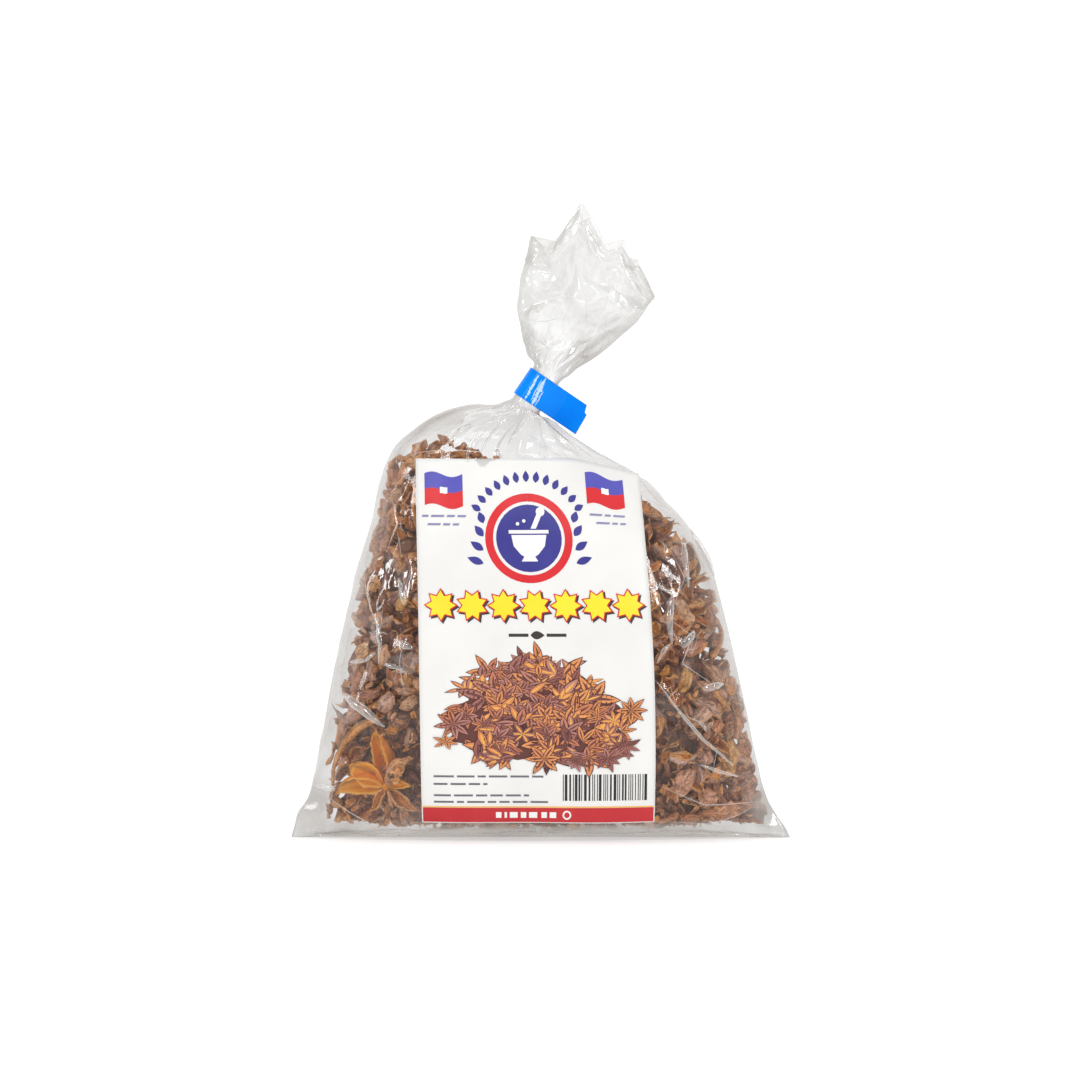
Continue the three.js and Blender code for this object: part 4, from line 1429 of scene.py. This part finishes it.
def small_marks():
    """The lines, dashes and bars that stand for the small print."""
    rng = np.random.default_rng(41)
    dark = [(box(25.9, 54.0, 31.6, 54.9), 1, 0.25), (box(36.9, 54.0, 42.6, 54.9), 1, 0.25),
            (leaf(32.2, 54.45, 4.1, 2.4, 0), 1, 0.25)]
    grey = []
    for right, y in ((36.0, 13.4), (19.0, 11.2), (31.0, 7.9), (36.6, 6.0)):
        dark += dashes(rng, 3.6, right, y, (1.8, 6.0), 0.9, 0.28, 0.0, 0.7)
    for left, right, y in ((1.6, 14.4, 88.8), (3.2, 12.6, 86.4), (51.2, 63.2, 89.4), (53.0, 61.8, 87.0)):
        grey += dashes(rng, left, right, y, (1.4, 4.0), 0.8, 0.32, 0.3, 0)
    x = 40.8
    while x < 65.2:
        wide = rng.choice([0.25, 0.25, 0.5, 0.75])
        dark.append((box(x, 6.4, x + wide, 14.0), 1, 0))
        x += wide + rng.choice([0.3, 0.3, 0.55])
    return dark, grey


def band_marks():
    """White dashes and a ring in the red band along the foot."""
    marks = [(box(x, 1.5, x + wide, 3.1), 2, 0) for x, wide in
             ((21.4, 1.6), (23.9, 0.7), (25.4, 2.3), (28.6, 1.6), (31.0, 2.4), (34.6, 1.6), (37.0, 1.9))]
    return marks + [(arch(42.0, 2.3, 1.25, 0.8, *ROUND), 2, 0)]


def printed_heap():
    """A mound of simple stars and boats, drawn from its top down to its foot."""
    rng = np.random.default_rng(31)
    turn = np.arange(60) / 60 * 2 * np.pi
    ragged = 1 + 0.05 * np.sin(9 * turn) + 0.04 * np.sin(14 * turn + 1)
    foot = np.stack([33.5 + 26 * ragged * np.cos(turn), 29.5 + 11 * ragged * np.sin(turn)], -1)
    crown = np.stack([31.5 + 15 * ragged * np.cos(turn), 36 + 10.5 * ragged * np.sin(turn)], -1)
    layers = [(foot, 1, 0.05), (crown, 1, 0.05)]
    count, half, widest = 190, 28.5, 27  # pods, half the mound's width, and the height where it is widest
    for k in range(count):
        share = k / (count - 1)
        y = lerp(47.0, 18.5, share)
        rounded = half * math.sqrt(max(0.02, 1 - ((y - widest) / 21.5) ** 2))
        reach = rounded if y > widest else half - 0.35 * (widest - y) ** 1.25
        x = 33.5 - 3.0 * (y - 30) / 20 + (reach - 4) * rng.uniform(-1, 1)
        layers += printed_pod(rng, x, y, 1 + 0.02 * k)
    for k, (x, y) in enumerate([(7.4, 23.5), (60.4, 32.5), (59.0, 22.0), (44.6, 17.6), (35.4, 18.6)]):
        layers += printed_pod(rng, x, y, 6 + 0.1 * k, arms=8 if k % 2 else 6)
    return layers


def printed_pod(rng, x, y, layer, arms=None):
    """A drawn pod: each arm a dark leaf, a paler leaf on it and a slit or a golden inside."""
    arms = arms or rng.choice([1, 1, 1, 2, 2, 3, 6, 8])
    size = rng.uniform(4.2, 6.2) if arms > 3 else rng.uniform(5.0, 8.6)
    width = size * rng.uniform(0.3, 0.42)
    turn, tone, flatten = rng.uniform(0, 360), rng.uniform(0.15, 0.95), rng.uniform(0.55, 1.0)
    golden = rng.random() < 0.25
    shapes, step = [], 0.006
    for k in range(arms):
        angle = turn + 360 * k / max(arms, 6) + rng.uniform(-8, 8)
        long = size * rng.uniform(0.8, 1.1)
        tint = np.clip(tone + rng.uniform(-0.14, 0.14), 0.1, 0.85)
        shapes += [(leaf(x, y, long, width, angle, flatten), layer, 0.0),
                   (leaf(x, y, long * 0.95, width * 0.8, angle, flatten), layer + step, tint),
                   (leaf(x, y, long * 0.78, width * 0.26, angle, flatten), layer + 2 * step,
                    0.97 if golden else 0.08)]
    return shapes


def build_print():
    red, blue, white = flags()
    ring, navy, more_white = badge()
    yellow, edges, shadows = title_row()
    dark, grey = small_marks()
    red += ring + edges
    foot = [(box(0.35, 0.3, LABEL_WIDTH - 0.35, 4.3), 1, 0)]
    gold = [(box(0.35, 4.35, LABEL_WIDTH - 0.35, 4.75), 1, 0)]
    inks = {
        "print_red": (red, (216, 44, 50)),
        "print_deep_red": (foot, (194, 44, 50)),
        "print_blue": (blue, (86, 84, 180)),
        "print_navy": (navy, (60, 58, 140)),
        "print_white": (white + more_white + band_marks(), (244, 243, 240)),
        "print_yellow": (yellow, (253, 226, 52)),
        "print_gold": (gold, (240, 190, 110)),
        "print_slate": (grey, (138, 136, 176)),
    }
    for name, (layers, shade) in inks.items():
        yield print_object(name, mottled(name, 90, shade, [min(255, c + 10) for c in shade]), layers)
    yield print_object("print_dark", toned("print_dark", DARK_STOPS), shadows + dark)
    yield print_object("print_pods", toned("print_pods", POD_STOPS), printed_heap())


# ---------------------------------------------------------------- the tape

TAPE_THICK = 0.24
TAPE_LOOP = 5.0  # the radius of the loop, at the middle of the tape's thickness
FLAG_TURN = math.radians(17)  # the free end stands forward of the shoulder
PRESSED = 8.8  # how far out the two ends come together
FLAG_REACH = 16.454  # how far out the free end is at the middle of the tape's width
NOTCH_FROM = 2.3  # above this height across the tape, its end is cut back
NOTCH_REACH = 16.27


def tape_path(reach):
    """The tape's middle line, seen along the neck: out to the right, and back. reach is its free end."""
    way = np.array([math.cos(FLAG_TURN), -math.sin(FLAG_TURN)])
    root = np.array([NECK_RADIUS, 0.0])
    square = np.array([-way[1], way[0]]) * (TAPE_THICK / 2 + 0.02)
    meet = root + way * (PRESSED - NECK_RADIUS) / way[0]
    tip = root + way * (reach - NECK_RADIUS) / way[0]
    towards = math.atan2(meet[1], meet[0])
    opening = math.acos(TAPE_LOOP / np.linalg.norm(meet))
    turn = np.linspace(towards - opening, towards + opening - 2 * math.pi, 90)
    loop = TAPE_LOOP * np.stack([np.cos(turn), np.sin(turn)], -1)
    front = [lerp(tip, meet, k) - square for k in np.linspace(0, 1, 14)]
    back = [lerp(meet, tip, k) + square for k in np.linspace(0, 1, 14)]
    return np.concatenate([front, loop, back])


def build_tape():
    """The blue tape: a band round the neck whose two ends are pressed together into a flag."""
    along = np.linspace(-TAPE_WIDTH / 2, TAPE_WIDTH / 2, 27)
    reach = np.where(along > NOTCH_FROM, NOTCH_REACH - 0.35 * along, FLAG_REACH - 0.07 * along)
    path = np.stack([tape_path(r) for r in reach], 1)  # rows along the band, columns across it
    slope = np.gradient(path, axis=0)
    square = unit(np.stack([slope[..., 1], -slope[..., 0]], -1))
    turn = np.degrees(np.arctan2(path[..., 1], path[..., 0]))
    near_fold = np.exp(-((turn + 104 - 1.2 * along) / 13) ** 2) * (np.linalg.norm(path, axis=2) < 5.6)
    ripple = 0.05 * near_fold * np.sin(turn / 4.1 + 0.5 * np.sin(along * 1.3) + 0.15 * along)
    path = path - square * ripple[..., None]
    up = np.broadcast_to(along[None, :, None], (*path.shape[:2], 1))
    sides = [np.concatenate([path + square * offset, up], 2) for offset in (-TAPE_THICK / 2, TAPE_THICK / 2)]
    points, triangles, _ = shell(*sides)
    blue = mottled("blue_tape", 120, (0, 126, 246), (0, 142, 254), 0.16, 0.12)
    return mesh_object("tape_band", in_neck_frame(*points.T), triangles, blue)


def in_neck_frame(out, back, up):
    """Places given along the neck's lean as places in the bag's frame."""
    sin, cos = math.sin(NECK_LEAN), math.cos(NECK_LEAN)
    return np.stack([NECK_CENTRE[0] + out * cos + up * sin, back, NECK_CENTRE[1] - out * sin + up * cos], -1)


def build_tape_glints():
    """Painted highlights: pale lines across the band that stand for the light glinting on its curve."""
    rng = np.random.default_rng(37)
    parts = []
    for low, high, left, right, width in ((-4.3, 4.0, -1.25, -1.9, 0.7), (-4.4, 4.3, 1.35, 0.3, 1.15),
                                          (-3.6, 3.4, 0.35, -0.45, 0.3), (-4.4, 0.6, 2.3, 1.9, 0.3)):
        up = np.linspace(low, high, 40)
        middle = np.linspace(left, right, 40) + 0.08 * np.sin(up * 2.1)
        half = width / 2 * np.sin(np.pi * np.linspace(0.03, 0.97, 40)) ** 0.5
        half *= 1 + 0.35 * rng.normal(size=40)
        out = middle[:, None] + half[:, None] * np.array([-1, 0, 1])
        r = TAPE_LOOP + TAPE_THICK / 2 + np.array([0.01, 0.05, 0.01])
        points = in_neck_frame(out, -np.sqrt(r ** 2 - out ** 2), np.broadcast_to(up[:, None], out.shape))
        parts.append((points.reshape(-1, 3), grid_faces(40, 3)))
    # Painted highlight: a pale, partly clear tint laid on the band where the light glints.
    pale = partly_clear("painted_tape_glint", 0.85, 255, (206, 238, 255), 0.3)
    return mesh_object("tape_painted_glints", *together(parts), pale)


# ---------------------------------------------------------------- materials


def husk():
    """Dry husk: mauve to orange-brown and wrinkled outside, golden and smoother inside. The few pieces with a
    hue over 1 are ochre. Its colour also holds painted shade in each arm's hollow and in the grooves of the
    fibre grain, and painted highlight on the lips, on the grain's ridges and on fine pale specks."""
    m = Shader("star_anise")
    tone, hue, inner, around = (m.attribute(name) for name in ("tone", "hue", "inner", "around"))
    ochre = m.rescale(hue, 1.0, 1.5, 0.0, 1.0)
    mauve = m.ramp(tone, [(0, (142, 92, 78)), (0.5, (226, 171, 149)), (1, (255, 226, 209))])
    tan = m.ramp(tone, [(0, (160, 92, 52)), (0.5, (241, 158, 90)), (1, (255, 198, 118))])
    outside = m.mix(ochre, m.mix(hue, mauve, tan), colour(246, 146, 34))
    inside = m.ramp(tone, [(0, (214, 128, 68)), (0.5, (250, 166, 80)), (1, (255, 168, 40))])
    inside = m.mix(ochre, inside, colour(255, 172, 16))
    worn = m.maths("MULTIPLY", m.maths("SUBTRACT", m.noise(330, 2), 0.5), 0.6)
    golden = m.add("Math", {0: inner, 1: worn}, operation="ADD", use_clamp=True).outputs[0]
    # Painted highlight: the lips of each wall are made paler, as where its edges catch the light.
    lip_highlight = m.mix(ochre, colour(252, 206, 148), colour(255, 196, 104))
    both = m.mix(m.rescale(inner, 1.0, EDGE, 0.0, 0.7), m.mix(golden, outside, inside), lip_highlight)
    # Painted shade: the inside of each arm darkens towards the middle of its hollow, where shade falls.
    hollow = m.rescale(m.maths("ABSOLUTE", around), 0.0, 1.3, 0.55, 0.0, interpolation_type="SMOOTHSTEP")
    both = m.mix(m.maths("MULTIPLY", hollow, golden), both, colour(128, 70, 34))

    place = m.add("CombineXYZ", {0: m.maths("MULTIPLY", m.attribute("along"), 0.38), 1: around,
                                 2: m.maths("MULTIPLY", tone, 60.0)}).outputs[0]
    fibres = m.add("TexNoise", {"Vector": place, "Scale": 0.75, "Detail": 5.0, "Roughness": 0.62,
                                "Distortion": 0.6}).outputs["Fac"]
    # Fibre grain, from the same noise as the bump: painted shade in its grooves and painted highlight on its
    # ridges.
    streaks = m.ramp(fibres, [(0.34, (104, 80, 70)), (0.46, (206, 190, 180)), (0.6, (255, 253, 250))])
    # Fine random specks, darker and paler: grain, with the pale specks as painted glints.
    specks_and_glints = m.ramp(m.noise(1400, 2, 0.7), [(0.36, (172, 162, 156)), (0.5, (244, 242, 240)),
                                            (0.6, (255, 255, 255))])
    dull = m.maths("SUBTRACT", 1.0, m.maths("MULTIPLY", ochre, 0.75))
    grain_shade_share = m.maths("MULTIPLY", m.rescale(golden, 0.0, 1.0, 0.85, 0.5), dull)
    shaded = m.mix(grain_shade_share, both, streaks, "MULTIPLY")
    shaded = m.mix(m.maths("MULTIPLY", dull, 0.8), shaded, specks_and_glints, "MULTIPLY")
    return m.finish(m.solid(shaded, 0.5, 0.45, Normal=m.bump(fibres, 0.9, 0.45)))


def toned(name, stops, roughness=0.4, specular=0.3):
    """A surface whose colour goes with each point's tone."""
    m = Shader(name)
    return m.finish(m.solid(m.ramp(m.attribute("tone"), stops), roughness, specular))


def mottled(name, scale, shade, paler, roughness=0.4, specular=0.3):
    """A smooth surface of one colour, a little paler here and there."""
    m = Shader(name)
    return m.finish(m.solid(m.ramp(m.noise(scale, 2), [(0.3, shade), (0.7, paler)]), roughness, specular))


def partly_clear(name, share, through, shade, roughness, specular=0.5):
    """The film's creases and the tape's glints: whiter than the rest, a painted highlight, and still partly
    clear.
    """
    m = Shader(name)
    return m.finish(m.blend(share, m.clear(through), m.solid(colour(*shade), roughness, specular)))


def film_material(name, least, haze_share, layer_share, tilt_share, haze_shade, clear_shade):
    """Thin clear film: it shines more at a glancing angle and where it is crinkled, and is greyer and hazier
    where it lies in layers and where it tilts away."""
    m = Shader(name)
    facing = m.add("LayerWeight", {"Blend": 0.5}).outputs["Facing"]
    crinkle = m.rescale(m.attribute("crinkled"), 0.1, 1.6, least, least + 0.07)
    shine = m.maths("ADD", m.maths("MULTIPLY", m.maths("POWER", facing, 3.5), 0.6), crinkle)
    haze = m.add("BsdfDiffuse", {"Color": colour(haze_shade, haze_shade - 3, haze_shade - 9)})
    normal = m.bump(m.noise(600, 3, 0.6), 0.3, 0.15)
    gloss = m.add("BsdfGlossy", {"Color": colour(255, 255, 255), "Roughness": 0.08, "Normal": normal})
    layers = m.rescale(m.attribute("layers"), 0.0, 1.0, haze_share, haze_share + layer_share)
    tilted = m.maths("MULTIPLY_ADD", m.maths("POWER", facing, 0.7), tilt_share, 0.8)
    glancing = m.maths("MULTIPLY", m.maths("POWER", facing, 2.5), 0.4)
    hazy = m.maths("ADD", glancing, m.maths("MULTIPLY", layers, tilted))
    return m.finish(m.blend(shine, m.blend(hazy, m.clear(clear_shade), haze), gloss))


POD_STOPS = [(0, (84, 50, 48)), (0.1, (118, 72, 66)), (0.28, (158, 98, 90)), (0.44, (192, 134, 122)),
             (0.6, (202, 124, 88)), (0.85, (230, 152, 94)), (1, (248, 184, 84))]
DARK_STOPS = [(0, (44, 44, 46)), (0.25, (66, 60, 58)), (0.6, (112, 112, 118))]
SEED_STOPS = [(0, (84, 44, 24)), (1, (142, 84, 40))]


def white_card():
    """The floor and backdrop: white, and partly lit from within. Near the bag it glows less, and so shows
    the bag's shadow."""
    m = Shader("pale_card")
    card = m.add("BsdfDiffuse", {"Color": colour(250, 250, 250)})
    glow = m.add("Emission", {"Color": colour(255, 255, 255), "Strength": 1.2})
    away = m.add("VectorMath", {0: m.place()}, operation="LENGTH").outputs["Value"]
    return m.finish(m.blend(m.rescale(away, 0.1, 0.7, 0.42, 0.85), card, glow))


# ---------------------------------------------------------------- floor, lights and camera

FRAME_PIXELS = 1080
PIXELS_PER_MM = 3.4
FLOOR_PIXEL = 838  # the height in the frame of the bag's lower corners
CAMERA_FAR = 2500.0
CAMERA_RAISED = math.radians(1.6)

FLOOR_REACH = 2500.0
BEND_FROM, BEND_RADIUS = 700.0, 900.0
WALL_TOP = 3500.0
LIT_POINT = (0, 0, 0.09)  # in metres
ROOM_LIGHT = 0.4
# Each lamp's place in metres, its size across and up, and its watts. All aim at the lit point.
LAMPS = {
    "key_left": ((-0.95, -0.95, 0.75), (0.2, 0.44), 3.8),
    "side_left": ((-1.3, -0.2, 0.5), (0.2, 0.44), 2.5),
    "fill_right": ((1.0, -0.8, 0.6), (0.2, 0.42), 4.6),
    "front_top": ((0.1, -1.2, 1.0), (0.4, 0.18), 3.0),
    "top": ((0, 0.1, 1.4), (0.8, 0.5), 4.0),
}


def build_stage():
    """A pale floor that curves up into a backdrop."""
    x = np.linspace(-FLOOR_REACH, FLOOR_REACH, 3)
    bend = np.linspace(0, math.pi / 2, 14)
    y = np.concatenate([[-FLOOR_REACH], BEND_FROM + BEND_RADIUS * np.sin(bend), [BEND_FROM + BEND_RADIUS]])
    z = np.concatenate([[0], BEND_RADIUS - BEND_RADIUS * np.cos(bend), [WALL_TOP]])
    points = np.stack([np.tile(x, (len(y), 1)), np.tile(y[:, None], (1, 3)), np.tile(z[:, None], (1, 3))], -1)
    card = mesh_object("backdrop", points.reshape(-1, 3), grid_faces(len(y), 3), white_card())


def build_lights():
    for name, (place, size, power) in LAMPS.items():
        light = bpy.data.lights.new(name, "AREA")
        light.shape, light.size, light.size_y, light.energy = "RECTANGLE", *size, power
        obj = linked(bpy.data.objects.new(name, light))
        obj.location = place
        obj.rotation_euler = (Vector(LIT_POINT) - Vector(place)).to_track_quat("-Z", "Y").to_euler()
    world = bpy.data.worlds.new("studio")
    bpy.context.scene.world = world
    world.use_nodes = True
    background = world.node_tree.nodes["Background"].inputs
    background["Color"].default_value = (1, 1, 1, 1)
    background["Strength"].default_value = ROOM_LIGHT


def build_camera():
    lens = bpy.data.cameras.new("camera")
    seen = FRAME_PIXELS / PIXELS_PER_MM
    lens.sensor_width = 36
    lens.lens = lens.sensor_width * CAMERA_FAR / seen
    lens.clip_end = 50
    obj = linked(bpy.data.objects.new("camera", lens))
    aim = Vector((0, 0, (FLOOR_PIXEL - FRAME_PIXELS / 2) / PIXELS_PER_MM)) * MM
    away = Vector((0, -math.cos(CAMERA_RAISED), math.sin(CAMERA_RAISED))) * CAMERA_FAR * MM
    obj.location = aim + away
    obj.rotation_euler = (-away).to_track_quat("-Z", "Y").to_euler()
    bpy.context.scene.camera = obj


# ---------------------------------------------------------------- the scene

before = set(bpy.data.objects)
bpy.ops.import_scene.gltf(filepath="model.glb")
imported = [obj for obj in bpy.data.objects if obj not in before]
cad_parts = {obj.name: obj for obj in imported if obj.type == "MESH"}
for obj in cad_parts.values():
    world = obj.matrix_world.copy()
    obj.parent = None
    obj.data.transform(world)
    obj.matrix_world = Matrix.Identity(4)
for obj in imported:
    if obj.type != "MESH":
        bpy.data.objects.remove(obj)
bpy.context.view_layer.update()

HUSK = husk()
SEED_SKIN = toned("seed", SEED_STOPS, 0.18, 0.5)
PAPER = mottled("label_paper", 60, (236, 235, 232), (243, 242, 239))
# Painted highlight: the raised crease lines are made whiter than the film, for the light glinting along them.
CREASE_GLINT = partly_clear("crease_painted_glint", 0.42, 248, (250, 249, 246), 0.22, 0.8)
FILM = film_material("clear_film", least=0.036, haze_share=0.012, layer_share=0.26, tilt_share=2.6,
                     haze_shade=200, clear_shade=243)
FOLD = film_material("folded_film", least=0.1, haze_share=0.2, layer_share=0.3, tilt_share=0.3,
                     haze_shade=240, clear_shade=252)
FAN_FILM = film_material("fan_film", least=0.05, haze_share=0.05, layer_share=0.22, tilt_share=4.0,
                         haze_shade=188, clear_shade=252)

build_stage()
build_lights()
build_camera()
bpy.context.scene.view_settings.view_transform = "Standard"

for sheet in build_film():
    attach(sheet, "root")
    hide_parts("bag")

for heap in [build_core(), *fill_bag()]:
    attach(heap, "root")
    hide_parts("bag")

label = build_label()
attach(label, "root")
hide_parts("label")

for ink in build_print():
    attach(ink, "root")
    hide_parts("label")

for band in (build_tape(), build_tape_glints()):
    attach(band, "root")
    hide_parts("tape")
